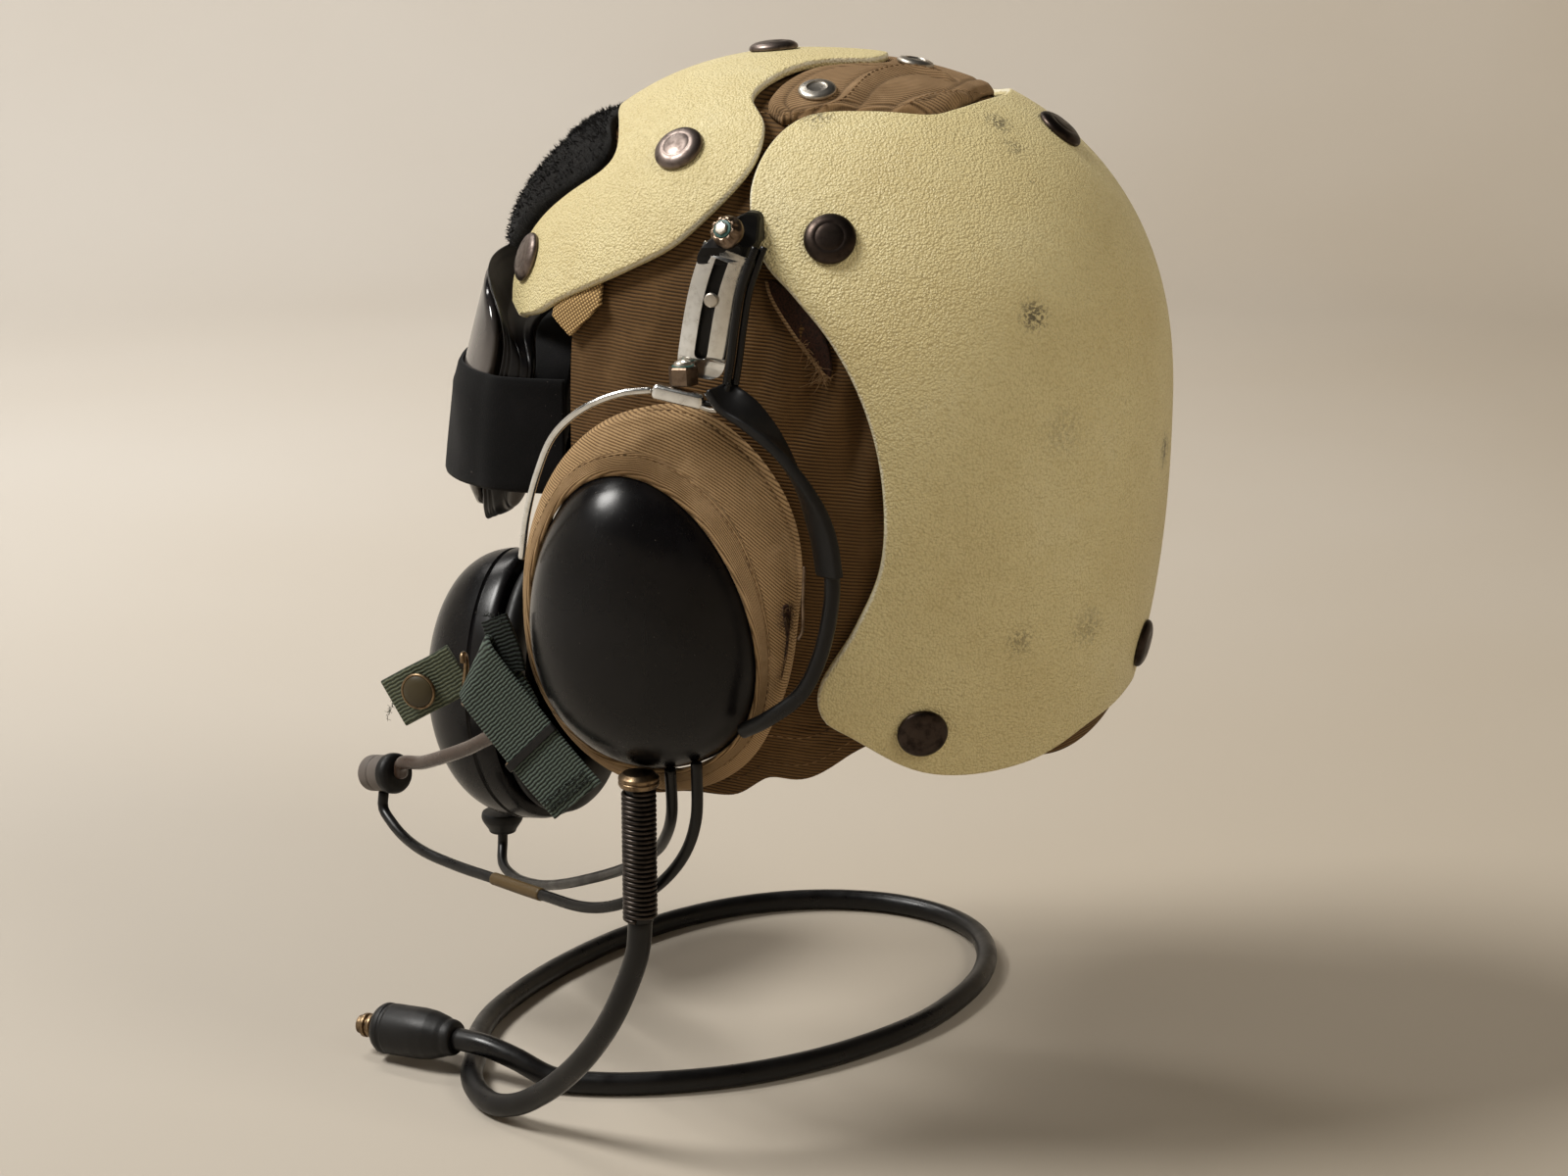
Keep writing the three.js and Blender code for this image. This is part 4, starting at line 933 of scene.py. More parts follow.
def front_shell():
    halves = [spline_open(FRONT_BAND[:, k : k + 2], 121, even=False) for k in (0, 2)]
    front, rear = (np.vstack([half[:0:-1] * [-1, 1], half]) for half in halves)
    corners = [head_point(TOP_VIEW(p[:, 0], p[:, 1]), 0.0) for p in (front, rear)]
    loops, marks = [], []
    for a, b, width in zip(front, rear, np.linalg.norm(corners[0] - corners[1], axis=1)):
        share, offset, wear = band_section(width)
        p = a + (b - a) * share[:, None]
        loops.append(head_point(TOP_VIEW(p[:, 0], p[:, 1]), offset))
        marks.append(wear)
    loops = end_lip(loops[0], loops[1])[::-1] + loops + end_lip(loops[-1], loops[-2])
    marks = [0.9, 0.9] + marks + [0.9, 0.9]
    start, end = loops[0].mean(0), loops[-1].mean(0)
    return loft("front_shell_skin", loops, SHELL, start=start, end=end, values={"edge": marks})


register(back_shell(), "shell", "back_shell")
register(front_shell(), "shell", "front_shell")

# Snaps: bearing from the front, rise and offset from the shells' outer face.
SNAPS = {
    "front": [(0, 83, 0), (70, 51, 0), (-70, 51, 0), (35, 27.5, 0), (-35, 27.5, 0)],
    "back": [(180, 48, 0), (109, 36, 0), (-109, 36, 0), (126, -42, 0), (-126, -42, 0), (180, -34.5, 0)],
    "crown": [(180, 73, -1.3), (107, 67, -1.5), (-107, 67, -1.4)],
}
SNAP_PROFILE = [
    (0, 0), (7.4, 0), (8.1, 0.35), (8.2, 0.9), (7.9, 1.6), (7.1, 2.25), (5.9, 2.75), (4.7, 3.0), (4.5, 2.92),
    (4.3, 3.02), (3.0, 3.2), (1.5, 3.3), (0, 3.33),
]
EYELET_PROFILE = [
    (0, 0), (5.6, 0), (6.1, 0.3), (6.2, 0.8), (5.9, 1.4), (5.0, 1.9), (3.4, 2.1), (3.2, 1.7), (2.9, 1.6),
    (0, 1.7),
]
SNAP_KINDS = {
    "front": (SNAP_PROFILE, BRONZE_LIT, "bronze"),
    "back": (SNAP_PROFILE, BRONZE, "bronze"),
    "crown": (EYELET_PROFILE, NICKEL, "nickel"),
}
SNAP_SUNK = 0.15

for kind, places in SNAPS.items():
    profile, metal, slot = SNAP_KINDS[kind]
    for number, (bearing, rise, offset) in enumerate(places, 1):
        turn, lift = math.radians(bearing), math.radians(rise)
        ray = np.array([math.cos(lift) * math.sin(turn), -math.cos(lift) * math.cos(turn), math.sin(lift)])
        node = f"{kind}_snap_{number}"
        normal = head_normal(ray, offset)
        foot = head_point(ray, offset) - normal * SNAP_SUNK
        register(lathe(node + "_cap", profile, metal, foot, normal, sharp=50), slot, node)


# Cap
CAP_EDGE = [
    (0, 66), (25, 67), (39, 70), (44, 80), (46, 98), (47, 118), (50, 134), (57, 144), (68, 146), (84, 145.5),
    (95, 143), (112, 139), (150, 136.5), (180, 135),
]
FACE_NOTCH = [(-130, 300), (-58, 288), (-58, 210), (-63, 200), (-63, 150), (-130, 135)]
FAR_OPENING = [(-130, 231), (-46, 229), (6, 224), (12, 214), (14, 80), (-130, 80)]
CUP = dict(middle=np.array([89, -27.5, 189]), width=40, height=51.5, depth=35, egg=0.16)
CUP_HOLE = 1.1
HEM = 0.952
HEM_THICK = 0.8
# Soft valleys and ridges in the cap: start, end, width and lift.
FOLDS = [
    ([92, 35, 285], [95, 20, 248], 3.4, -2.9),
    ([92, 40, 278], [94, 27, 242], 3.0, 1.5),
    ([91, 45, 272], [92, 36, 232], 3.2, -2.7),
    ([90, 50, 266], [91, 42, 226], 3.2, 1.3),
    ([90, 56, 262], [90, 50, 222], 3.6, -1.8),
    ([89, 28, 298], [94, 16, 266], 3.4, 1.0),
    ([92, 14, 300], [96, 9, 254], 4.2, -1.8),
    ([85, -40, 284], [87, -47, 260], 5.0, -1.3),
    ([92, -12, 284], [94, -17, 262], 4.6, -1.2),
    ([90, -24, 290], [90, -32, 262], 5.0, 0.8),
    ([89, 50, 212], [88, 44, 170], 4.0, -1.2),
]


def fold(points, start, end, width, lift):
    """The lift of one fold at each point."""
    a, b = np.asarray(start, float), np.asarray(end, float)
    along = np.clip(((points - a) @ (b - a)) / ((b - a) @ (b - a)), 0, 1)
    gap = np.linalg.norm(points - (a + along[:, None] * (b - a)), axis=1)
    fade = np.sin(np.pi * np.clip(along, 0.04, 0.96)) ** 0.5
    return lift * fade * np.exp(-((gap / width) ** 2))


def cup_outline(turn, share):
    """The cup's egg-shaped outline at a share of its size, as (along, up)."""
    y, z = np.sin(turn) * share, np.cos(turn) * share
    return y * CUP["width"] * (1 - CUP["egg"] * z), z * CUP["height"]


def oval_rows(profile, turns):
    """Rows of the cup's outline from (share of its size, distance out) rows."""
    return [np.stack([np.full_like(turns, depth), *cup_outline(turns, share)], 1) for share, depth in profile]


def prism(name, outline, low, high):
    """A tool of a (y, height) outline between two distances across."""
    n = len(outline)
    verts = [(x, y, z) for x in (low, high) for y, z in outline]
    faces = [tuple(range(n)), tuple(range(2 * n - 1, n - 1, -1))]
    faces += [(i, (i + 1) % n, n + (i + 1) % n, n + i) for i in range(n)]
    return mesh_piece(name, verts, faces, None, smooth=False)


def cut(ob, tool):
    apply_modifier(ob, "BOOLEAN", operation="DIFFERENCE", object=tool, solver="EXACT")
    bpy.data.objects.remove(tool)


def lay_cords(ob, ribs=lambda p: p[:, 2]):
    """Cloth attributes by place: ribs across the cords, and run along them."""
    co = np.zeros(len(ob.data.vertices) * 3)
    ob.data.vertices.foreach_get("co", co)
    co = co.reshape(-1, 3) * 1000 + [0, 0, SEAT]
    set_attribute(ob.data, "ribs", ribs(co))
    set_attribute(ob.data, "run", co[:, 1])


def cap():
    edge = turned_outline(CAP_EDGE, 301) * [1, -1]
    outer, inner = [], []
    for s in np.concatenate([np.linspace(0, 0.94, 76)[1:], np.linspace(0.944, 1, 22)]):
        ray = CROWN_VIEW(edge[:, 0] * s, edge[:, 1] * s)
        surface = head_point(ray, CAP_OUTER)
        lift = sum(fold(surface, *f) for f in FOLDS) + HEM_THICK * ease((s - HEM) / 0.006)
        lift = lift - 0.5 * math.exp(-(((s - 0.972) / 0.0035) ** 2))
        outer.append(surface + head_normal(ray, CAP_OUTER) * lift[:, None])
        inner.append(head_point(ray, CAP_INNER))
    top, under = (head_point(CROWN_VIEW(0.0, 0.0), offset) for offset in (CAP_OUTER, CAP_INNER))
    ob = loft("cap_shell", outer + inner[::-1], CAP_CLOTH_SHADED, start=top, end=under)
    cut(ob, prism("notch_tool", FACE_NOTCH, -111, 111))
    cut(ob, prism("far_tool", FAR_OPENING, -140, -30))
    rings = [r + CUP["middle"] for r in oval_rows([(CUP_HOLE, -30), (CUP_HOLE, 40)], round_turns(72))]
    cut(ob, loft("hole_tool", rings, None, start=rings[0].mean(0), end=rings[1].mean(0)))
    ob.data.set_sharp_from_angle(angle=math.radians(50))
    lay_cords(ob, lambda p: p[:, 2] + 0.04 * p[:, 1] + 1.2 * np.sin(p[:, 1] / 23))
    return ob


def hem_line(share):
    """A line along the hem with its normals, from the near side round to the back."""
    edge = turned_outline(CAP_EDGE, 601) * [1, -1]
    ray = CROWN_VIEW(edge[:, 0] * share, edge[:, 1] * share)
    at = head_point(ray, CAP_OUTER + HEM_THICK + 0.05)
    keep = (at[:, 1] > -55) & ((at[:, 0] > 0) | (at[:, 1] > 16))
    return at[keep], head_normal(ray, CAP_OUTER)[keep]


register(cap(), "cloth", "cap")
for name, share in (("hem_stitches_upper", HEM + 0.008), ("hem_stitches_lower", 0.985)):
    stitches(name, *hem_line(share), THREAD, pitch=3.2, long=2.3)

# A torn slit in the cap shows its lining in front of the back shell.
SLIT = [(10, 296.5), (11.2, 293), (13.6, 289), (17.8, 283.4), (23, 276.8), (27.4, 271.6), (31, 267.6)]
SLIT_WIDE = 8

slit_y, slit_z = spline_open(SLIT, 61).T
open_by = SLIT_WIDE * np.sin(math.pi * np.linspace(0, 1, 61)) ** 0.6
cells = open_by[:, None] * np.linspace(0, 1, 9)
lining_y, lining_z = slit_y[:, None] + cells * 0.8, slit_z[:, None] + cells * 0.62
lining = [side_point(lining_y, lining_z, CAP_OUTER + lift) for lift in (0.85, -0.4)]
register(cloth_patch("slit_lining", *lining, LINING_AND_TEAR_SHADE), "cloth")
lip = side_point(slit_y, slit_z, CAP_OUTER + 0.8)
lip_piece = wire("slit_lip", lip, 90, 0.55, FLAP_CLOTH, sides=10)
lay_cords(lip_piece)
register(lip_piece, "cloth")
threads("slit_threads", lip[34:] + [0.4, 0.8, 0.4], [0.7, 0.5, -0.5], 46, 3.6, THREAD, 0.13)
threads("slit_threads_low", lip[50:] + [0.3, 0, 0], [0.6, -0.3, -0.8], 26, 4.4, THREAD, 0.13)

# Crown flap: rows of x, front edge and rear edge in plan, and the seams drawn on it.
FLAP = [
    (-55.5, 5, 10.5), (-50, -1, 26), (-38, 0, 50), (-24, 7, 55), (-11, 23.5, 57), (0, 25, 57), (11, 23.5, 57),
    (24, 7, 55), (38, 0, 50), (50, -1, 26), (55.5, 5, 10.5),
]
SEAM_LINES = [
    [
        (57.8, -1.9), (58.1, 8.5), (52.9, 18.2), (46.4, 23.8), (34.2, 25.9), (23.3, 28.8), (11.5, 35.2),
        (7.3, 45.7),
    ],
    [(44.5, 41.8), (34.5, 46.6), (23.5, 53.4), (15.2, 60.8)],
]
FLAP_LIFT = -1.4


def ridge(gap, width):
    """1 at no gap, and down to 0 over a width."""
    return np.exp(-((gap / width) ** 2))


def crown_flap():
    x, front, rear = (column[:, None] for column in spline_open(FLAP, 221, even=False).T)
    y = front + (rear - front) * np.linspace(0, 1, 61)
    x = np.broadcast_to(x, y.shape)
    gap = np.minimum(y - front, rear - y)
    rise = FLAP_LIFT - 1.6 * ridge(np.maximum(gap, 0), 0.9)
    rise = rise - 0.45 * ridge(gap - 5.5, 0.7) + 0.3 * np.sin(x / 7) * np.exp(-gap / 9)
    marks = ridge(gap - 5.5, 0.6)
    for line in SEAM_LINES:
        seam = spline_open(line, 60)
        away = np.hypot(x[..., None] - seam[:, 0], y[..., None] - seam[:, 1]).min(-1)
        rise = rise + 1.5 * ridge(away, 2.2) - 0.5 * ridge(away - 4.2, 0.8)
        marks = np.maximum(marks, ridge(away - 4.2, 0.5))
    values = {"ribs": y * 0.45 + x * 0.85, "run": y * 0.85 - x * 0.45, "seam": marks * 0.8}
    outer, inner = top_point(x, y, rise), top_point(x, y, CAP_LAYER)
    return cloth_patch("crown_flap_cloth", outer, inner, FLAP_CLOTH, values)


register(crown_flap(), "cloth", "crown_flap")
for number, line in enumerate(SEAM_LINES, 1):
    x, y = spline_open(line, 80).T
    slope = unit(np.stack([x / 2, y / 2, np.full(80, 60.0)], 1))
    stitches(f"crown_stitches_{number}", top_point(x, y, 0.1), slope, THREAD, pitch=2.6, long=1.9)

# Mesh tab: rows of y, lower edge and upper edge.
TAB = np.array([(-65.5, 280.2, 282.2), (-57, 275, 284.8), (-51, 280.5, 287), (-46, 285.8, 288)])


def mesh_tab():
    table = read_columns(np.linspace(TAB[0, 0], TAB[-1, 0], 40), TAB[:, 0], TAB)
    y, low, high = (column[:, None] for column in table.T)
    shares = np.linspace(0, 1, 13)
    z = low + (high - low) * shares
    tuck = ease((z - high + 2) / 3)
    z = z + 5 * shares**3
    y = np.broadcast_to(y, z.shape)
    outer, inner = side_point(y, z, FLAP_LIFT - 2.0 * tuck), side_point(y, z, CAP_LAYER)
    values = {"ribs": y * 0.8 + z * 0.6, "run": z * 0.8 - y * 0.6}
    return cloth_patch("near_tab_cloth", outer, inner, MESH, values)


register(mesh_tab(), "mesh", "near_mesh_tab")

# Forehead pad
PAD_EDGE = [
    (0, -15.5), (13, -13.5), (25, -11), (29.5, -12.5), (30, -16), (28, -22.5), (25, -30), (22.3, -36.5),
    (18, -40.5), (0, -42),
]
PAD_HEART = np.array([0, -28.0])
FIBRES = 9000


def pad_lift(along, share):
    """The pad's thickness, more towards the brow and less at its border."""
    return 2 + 4.5 * ease((-along - 12) / 26) - 2.5 * share**6


def pad_body(edge):
    outer, inner = [], []
    for s in np.linspace(0, 1, 33)[1:]:
        x, y = (PAD_HEART + (edge - PAD_HEART) * s).T
        uneven = 0.5 * np.sin(x * 1.9 + 3 * np.sin(y * 0.8)) * np.cos(y * 2.1) * (1 - s**8)
        outer.append(head_point(TOP_VIEW(x, y), pad_lift(y, s) + uneven * 0.6))
        inner.append(head_point(TOP_VIEW(x, y), CAP_LAYER))
    pole = head_point(TOP_VIEW(*PAD_HEART), pad_lift(PAD_HEART[1], 0))
    under = head_point(TOP_VIEW(*PAD_HEART), CAP_LAYER)
    return loft("forehead_pad_pile", outer + inner[::-1], PILE, start=pole, end=under)


def pad_fuzz(edge):
    """Short fibres that break the pad's outline."""
    verts, faces = [], []
    for _ in range(FIBRES):
        s = rng.random() ** 0.5
        p = PAD_HEART + (edge[rng.randrange(len(edge))] - PAD_HEART) * s
        lift = pad_lift(p[1], s)
        ray = TOP_VIEW(p[0], p[1])
        foot, normal = head_point(ray, lift - 0.3), head_normal(ray, lift)
        lean = unit(normal + scatter(0.5))
        side = unit(np.cross(lean, [rng.random(), rng.random(), rng.random()])) * 0.07
        tall = 0.8 + 1.6 * rng.random()
        i = len(verts)
        bend, end = foot + lean * tall * 0.6 + side * 0.6, foot + lean * tall + scatter(0.4)
        verts += [foot - side, foot + side, bend, end]
        faces += [(i, i + 1, i + 2), (i, i + 2, i + 3)]
    return mesh_piece("forehead_fuzz", verts, faces, PILE, outward=False)


pad_edge = spline_open(both_sides(PAD_EDGE), 181)[:-1]
pad = join("forehead_pad_pile", [pad_body(pad_edge), pad_fuzz(pad_edge)])
register(pad, "pile", "forehead_pad")


# Ear cups: the near one leans forward at its top, the far one hangs before the face.
LEAN = math.radians(8)
FAR_MIDDLE = np.array([-56, -127, 116.0])
FAR_TURN = np.array(Matrix.Rotation(math.radians(-104), 3, "Z") @ Matrix.Rotation(math.radians(8), 3, "Y"))
DOME_POWER = 2.3
CUP_LIP = [
    (1.0, 1.2), (0.99, 0.9), (0.982, 0.2), (0.99, -0.5), (1.0, -0.8), (1.0, -5.6), (0.985, -8.4),
    (0.97, -9.0), (0.84, -9.0), (0.83, -8.2), (0.905, 2), (0.74, 22), (0.4, 29),
]
SEAL = dict(share=0.79, wide=0.165, middle=-13.8, thick=4.5)


def dome_share(depth):
    """The dome's size at a distance out, as a share of the cup's outline."""
    return (1 - (np.asarray(depth, float) / CUP["depth"]) ** DOME_POWER) ** (1 / DOME_POWER)


def leaned(points):
    y, z = points[..., 1], points[..., 2]
    c, s = math.cos(LEAN), math.sin(LEAN)
    return np.stack([points[..., 0], y * c - z * s, y * s + z * c], -1)


def placed(rows, side):
    """Rows about a cup's own middle, moved to the near or the far cup."""
    if side == "near":
        return [leaned(r) + CUP["middle"] for r in rows]
    return [r @ FAR_TURN.T + FAR_MIDDLE for r in rows]


def ear_cup(side):
    turns = round_turns(128)
    dome = []
    for a in np.linspace(0, math.pi / 2, 30)[1:]:
        depth = CUP["depth"] * max(0.0, math.cos(a)) ** (2 / DOME_POWER)
        if depth > 1.5:
            dome.append((math.sin(a) ** (2 / DOME_POWER), depth))
    rows = placed(oval_rows(dome + CUP_LIP, turns), side)
    top, bottom = (placed([np.array([depth, 0, 0])], side)[0] for depth in (CUP["depth"], CUP["depth"] - 4))
    ob = loft(side + "_cup_dome", rows, GLOSS, start=top, end=bottom)
    ob.data.set_sharp_from_angle(angle=math.radians(40))
    register(ob, "gloss_black", side + "_ear_cup")
    ring = [
        (SEAL["share"] + SEAL["wide"] * math.cos(a), SEAL["middle"] + SEAL["thick"] * math.sin(a))
        for a in round_turns(28)
    ]
    seal = loft(side + "_seal_ring", placed(oval_rows(ring, turns), side), RUBBER, wrap=True)
    register(seal, "rubber", side + "_ear_seal")


for side in ("near", "far"):
    ear_cup(side)

# Ear pocket: its base's size round the cup, the shares of its knots, and where its binding starts.
POCKET_BASE = np.array([1.28, 1.47, 1.55, 1.22, 1.1, 1.12, 1.18, 1.18, 1.175, 1.165, 1.19, 1.23])
POCKET_STOPS = (0, 0.2, 0.62, 1.0)
POCKET_COLUMNS = 260
BINDING = 0.83
POCKET_SEAM = 0.34


def pocket_size(turn):
    """The pocket's base round the cup, a smooth closed curve through its table."""
    n = len(POCKET_BASE)
    at = np.mod(turn / (2 * math.pi) * n, n)
    i = np.floor(at).astype(int)
    return catmull_rom(*(POCKET_BASE[(i + k) % n] for k in (-1, 0, 1, 2)), at - i)


def pocket_base(turn, size):
    y, z = cup_outline(turn, size)
    x = head_side(CUP["middle"][1] + y, CUP["middle"][2] + z, CAP_LAYER) - CUP["middle"][0]
    return np.stack([x, y, z], -1)


def pocket_point(turn, share, lift=0.0):
    """A point of the ear pocket: share 0 at its foot on the cap and 1 at the rim on the dome."""
    turn = np.asarray(turn, float)
    lean = 0.5 + 0.5 * np.cos(turn - math.radians(48))
    depth = 7 + 11 * ease(lean)
    way = unit(np.stack([np.full_like(turn, 0.35), np.sin(turn), np.cos(turn)], -1))
    size = pocket_size(turn)
    foot, seam = pocket_base(turn, size - 0.08 * lean), pocket_base(turn, size)
    seam[..., 0] += 6 * lean
    rim = leaned(np.stack([depth, *cup_outline(turn, dome_share(depth))], -1)) + way * 0.3
    middle = (seam + rim) / 2 + way * (2.8 + 1.5 * lean)[..., None]
    knots, stops = [foot, seam, middle, rim], POCKET_STOPS
    slopes = [(knots[j] - knots[i]) / (stops[j] - stops[i]) for i, j in ((0, 1), (0, 2), (1, 3), (2, 3))]
    share = np.broadcast_to(np.asarray(share, float), turn.shape)
    out = np.zeros(turn.shape + (3,))
    for k in range(3):
        span = stops[k + 1] - stops[k]
        w = np.clip((share - stops[k]) / span, 0, 1)[..., None]
        piece = (2 * w**3 - 3 * w**2 + 1) * knots[k] + (w**3 - 2 * w**2 + w) * span * slopes[k]
        piece += (-2 * w**3 + 3 * w**2) * knots[k + 1] + (w**3 - w**2) * span * slopes[k + 1]
        out = np.where((share >= stops[k])[..., None], piece, out)
    return out + way * np.broadcast_to(lift, turn.shape)[..., None] + CUP["middle"]


def pocket_skin(name, start, end, rings, profile, grain):
    """A belt of the pocket with a lift profile and a grain over (share, turn)."""
    turn = round_turns(POCKET_COLUMNS) + math.radians(235)
    outer, inner, ribs, run = [], [], [], []
    for share in np.linspace(start, end, rings):
        outer.append(pocket_point(turn, share, profile(share, turn)))
        inner.append(pocket_point(turn, share, 0.1))
        across, along = grain(outer[-1], share, turn)
        ribs.append(across)
        run.append(along)
    values = {"ribs": ribs + ribs[::-1], "run": run + run[::-1]}
    return loft(name, outer + inner[::-1], POCKET_CLOTH_LIT, wrap=True, values=values)


def body_lift(share, turn):
    wave = 0.3 * np.sin(4 * turn + 7 * share) * math.sin(math.pi * share)
    groove = 0.5 * ridge(share - POCKET_SEAM, 0.012)
    crease = 0.5 * ridge(share - 0.5 + 0.1 * np.sin(turn), 0.05) * np.cos(turn - 0.6)
    return 1.7 + wave - groove + crease


def binding_lift(share, turn):
    w = (share - BINDING) / (1 - BINDING)
    roll = 1.35 * math.sqrt(max(0.0, 1 - max(0.0, (w - 0.72) / 0.28) ** 2)) + 0.75
    return roll - 0.5 * ridge(w, 0.07) - 0.35 * ridge(w - 0.2, 0.06) + 0.12 * np.sin(turn * 9)


def body_grain(spots, _share, _turn):
    """The cords run down towards the back, and turn with the pocket round its rear."""
    bend = 0.8 * (0.35 + 0.5 * ease((spots[:, 1] + 45) / 70))
    y, z = spots[:, 1] - CUP["middle"][1], spots[:, 2] - CUP["middle"][2]
    return z * np.cos(bend) + y * np.sin(bend), y * np.cos(bend) - z * np.sin(bend)


def binding_grain(_spots, share, turn):
    return share * 70 + turn * 4.0, turn * 40


def pocket_row(share, first, last, lift):
    """A path along the pocket between two bearings, with its outward directions."""
    turn = np.radians(np.linspace(first, last, 160))
    low, high = pocket_point(turn, share, lift - 1), pocket_point(turn, share, lift)
    return high, unit(high - low)


register(pocket_skin("near_pocket_cloth", 0.0, 0.9, 60, body_lift, body_grain), "cloth", "near_ear_pocket")
register(pocket_skin("near_pocket_binding", BINDING, 1.0, 18, binding_lift, binding_grain), "cloth")
for name, line in (
    ("pocket_stitches_base", pocket_row(POCKET_SEAM, -75, 150, 1.35)),
    ("pocket_stitches_rim", pocket_row(BINDING + 0.035, -80, 165, 1.75)),
):
    stitches(name, *line, THREAD, pitch=2.5, long=1.8, wide=0.42)

# A worn hole in the pocket's rear, as (y, height) points seen from the side; the dark sheet laid over it is
# painted shade for the hole's inside.
TEAR = [(18.4, 196.8), (20.0, 191), (19.6, 186), (18.6, 180), (17.6, 174.6)]
TEAR_WIDE = 0.13


def nearest_turn(points):
    """The pocket's (turn, share) nearest to (y, height) points on its visible side."""
    turns = np.radians(np.arange(60, 150, 1.0))
    shares = np.linspace(0.15, 0.8, 60)
    grid = np.array([pocket_point(turns, v) for v in shares])
    out = []
    for y, z in points:
        away = np.hypot(grid[..., 1] - y, grid[..., 2] - z)
        i, j = np.unravel_index(away.argmin(), away.shape)
        out.append((turns[j], shares[i]))
    return out


turn, depth = spline_open(nearest_turn(TEAR), 31).T
cells = TEAR_WIDE * (np.sin(math.pi * np.linspace(0, 1, 31)) ** 0.7)[:, None] * np.linspace(-1, 1, 9)
turn, depth = turn[:, None] + cells * 0.9, depth[:, None] + cells * 0.35
border, under = (pocket_point(turn, depth, lift) for lift in (1.95, 1.2))
# The dark lining sheet over the hole is painted shade for its inside.
register(cloth_patch("pocket_tear_shade", border, under, LINING_AND_TEAR_SHADE), "cloth")
threads("tear_threads_top", border[:8, 4] + [0.3, 0, 0], [0.6, -0.5, -0.5], 40, 4.2, THREAD, 0.14)
threads("tear_threads_front", border[4:, 0] + [0.2, 0, 0], [0.5, 0.6, -0.2], 46, 2.2, THREAD, 0.13)
threads("tear_threads_rear", border[4:, -1] + [0.2, 0, 0], [0.6, -0.3, 0.2], 30, 1.9, THREAD, 0.12)


# Straps and strips, from rows of a point and the direction of the width there
def ribbon(name, stations, width, thick, material, count=120, across=13, crown=0.0, slanted=False):
    """A flat strap with rounded borders; a slanted one keeps its width's direction as given."""
    points, ways = (np.array([s[k] for s in stations], float) for k in (0, 1))
    path = smooth_path(points, count)
    tangent = unit(np.gradient(path, axis=0))
    if slanted:
        wide = read_columns(np.linspace(0, 1, count), np.linspace(0, 1, len(ways)), ways)
    else:
        ways = ways[:1] if np.allclose(ways, ways[0]) else smooth_path(ways, count)
        wide = unit(ways - tangent * (ways * tangent).sum(1, keepdims=True))
    normal = unit(np.cross(tangent, wide))
    u = np.linspace(-0.5, 0.5, across)
    t = np.linspace(-math.pi / 2, math.pi / 2, 5)[1:-1]
    swell, half, body = crown * (1 - (2 * u) ** 2), thick / 2, 0.985 * width
    border = body / 2 + half / 2 * np.cos(t)
    section = np.hstack([
        [u * body, swell + half], [border, -half * np.sin(t)],
        [u[::-1] * body, swell[::-1] - half], [-border, half * np.sin(t)],
    ])
    loops = [p + np.outer(section[0], w) + np.outer(section[1], n) for p, w, n in zip(path, wide, normal)]
    flat = np.concatenate([u * width, [width / 2] * 3, u[::-1] * width, [-width / 2] * 3])
    along = [s + flat * slant for s, slant in zip(run_along(path), (wide * tangent).sum(1))]
    values = {"along": along, "across": [flat] * count}
    return loft(name, loops, material, start=loops[0].mean(0), end=loops[-1].mean(0), values=values)


FAR_FLAP = [
    ((-92, -20, 214.5), (0.3, -0.9, 0.25)), ((-95, -40, 208), (0.3, -0.8, 0.45)),
    ((-90, -60, 194), (0.25, -0.75, 0.6)), ((-83, -78, 176), (0.2, -0.7, 0.7)),
    ((-79, -92, 160), (0.2, -0.65, 0.7)), ((-73.5, -102, 147.5), (0.2, -0.6, 0.75)),
]
flap = ribbon("far_flap_cloth", FAR_FLAP, 46, 2, CAP_CLOTH_SHADED, across=25)
lay_cords(flap)
register(flap, "cloth", "far_flap")

# The chin strap hangs in a plane beside the pocket, in rise up the strap and drift across it.
STRAP_BASE = np.array([0, -83, 170.0])
STRAP_RUN = np.array([0, 0.756, 0.655])
STRAP_RISE = np.array([0, -0.655, 0.756])
SLANT = 0.44


def strap_point(x, rise, drift):
    return STRAP_BASE + STRAP_RISE * rise + STRAP_RUN * drift + [x, 0, 0]


# Each row is x, rise, drift and the slant of the cross line.
STRAP = [
    (98, -22, -4.8, 0), (97.5, -14, -3, 0.3), (97, -6, -2.6, SLANT), (97.6, -2, -2.6, SLANT),
    (100.2, 0.5, -2.6, SLANT), (103, -2, -2.6, SLANT), (104.5, -10, -2.4, 0.4), (106.5, -24, -1.6, 0.15),
    (109, -39, -0.6, 0), (110.5, -54.4, 0.8, 0),
]
UPPER = [
    ((98.2, -73.5, 167), (0, 0.8, -0.3)), ((98.4, -74.5, 172.5), (0, 0.85, -0.35)),
    ((98, -77, 178.5), (0.1, 0.9, -0.3)), ((97.2, -79.5, 184.2), (0.2, 0.9, -0.2)),
]
TAIL = [
    ((91.4, -94, 165), (0, -0.25, 0.95)), ((92.1, -100, 161), (0, -0.3, 0.93)),
    ((92.5, -108, 156.5), (0, -0.4, 0.9)), ((91, -118, 150.5), (0, -0.45, 0.87)),
]
UPPER_EDGE = np.array([[97.4, -83.2, 184.6], [97.5, -79.5, 184.4], [97.8, -75.6, 183.2]])
TAIL_EDGE = np.array([[91, -114.4, 157.0], [91, -118.3, 150.5], [91, -121.6, 143.6]])
KEEPER = [(strap_point(108.9, -30.4, -1.2), STRAP_RUN), (strap_point(109.3, -33.0, -1.0), STRAP_RUN)]

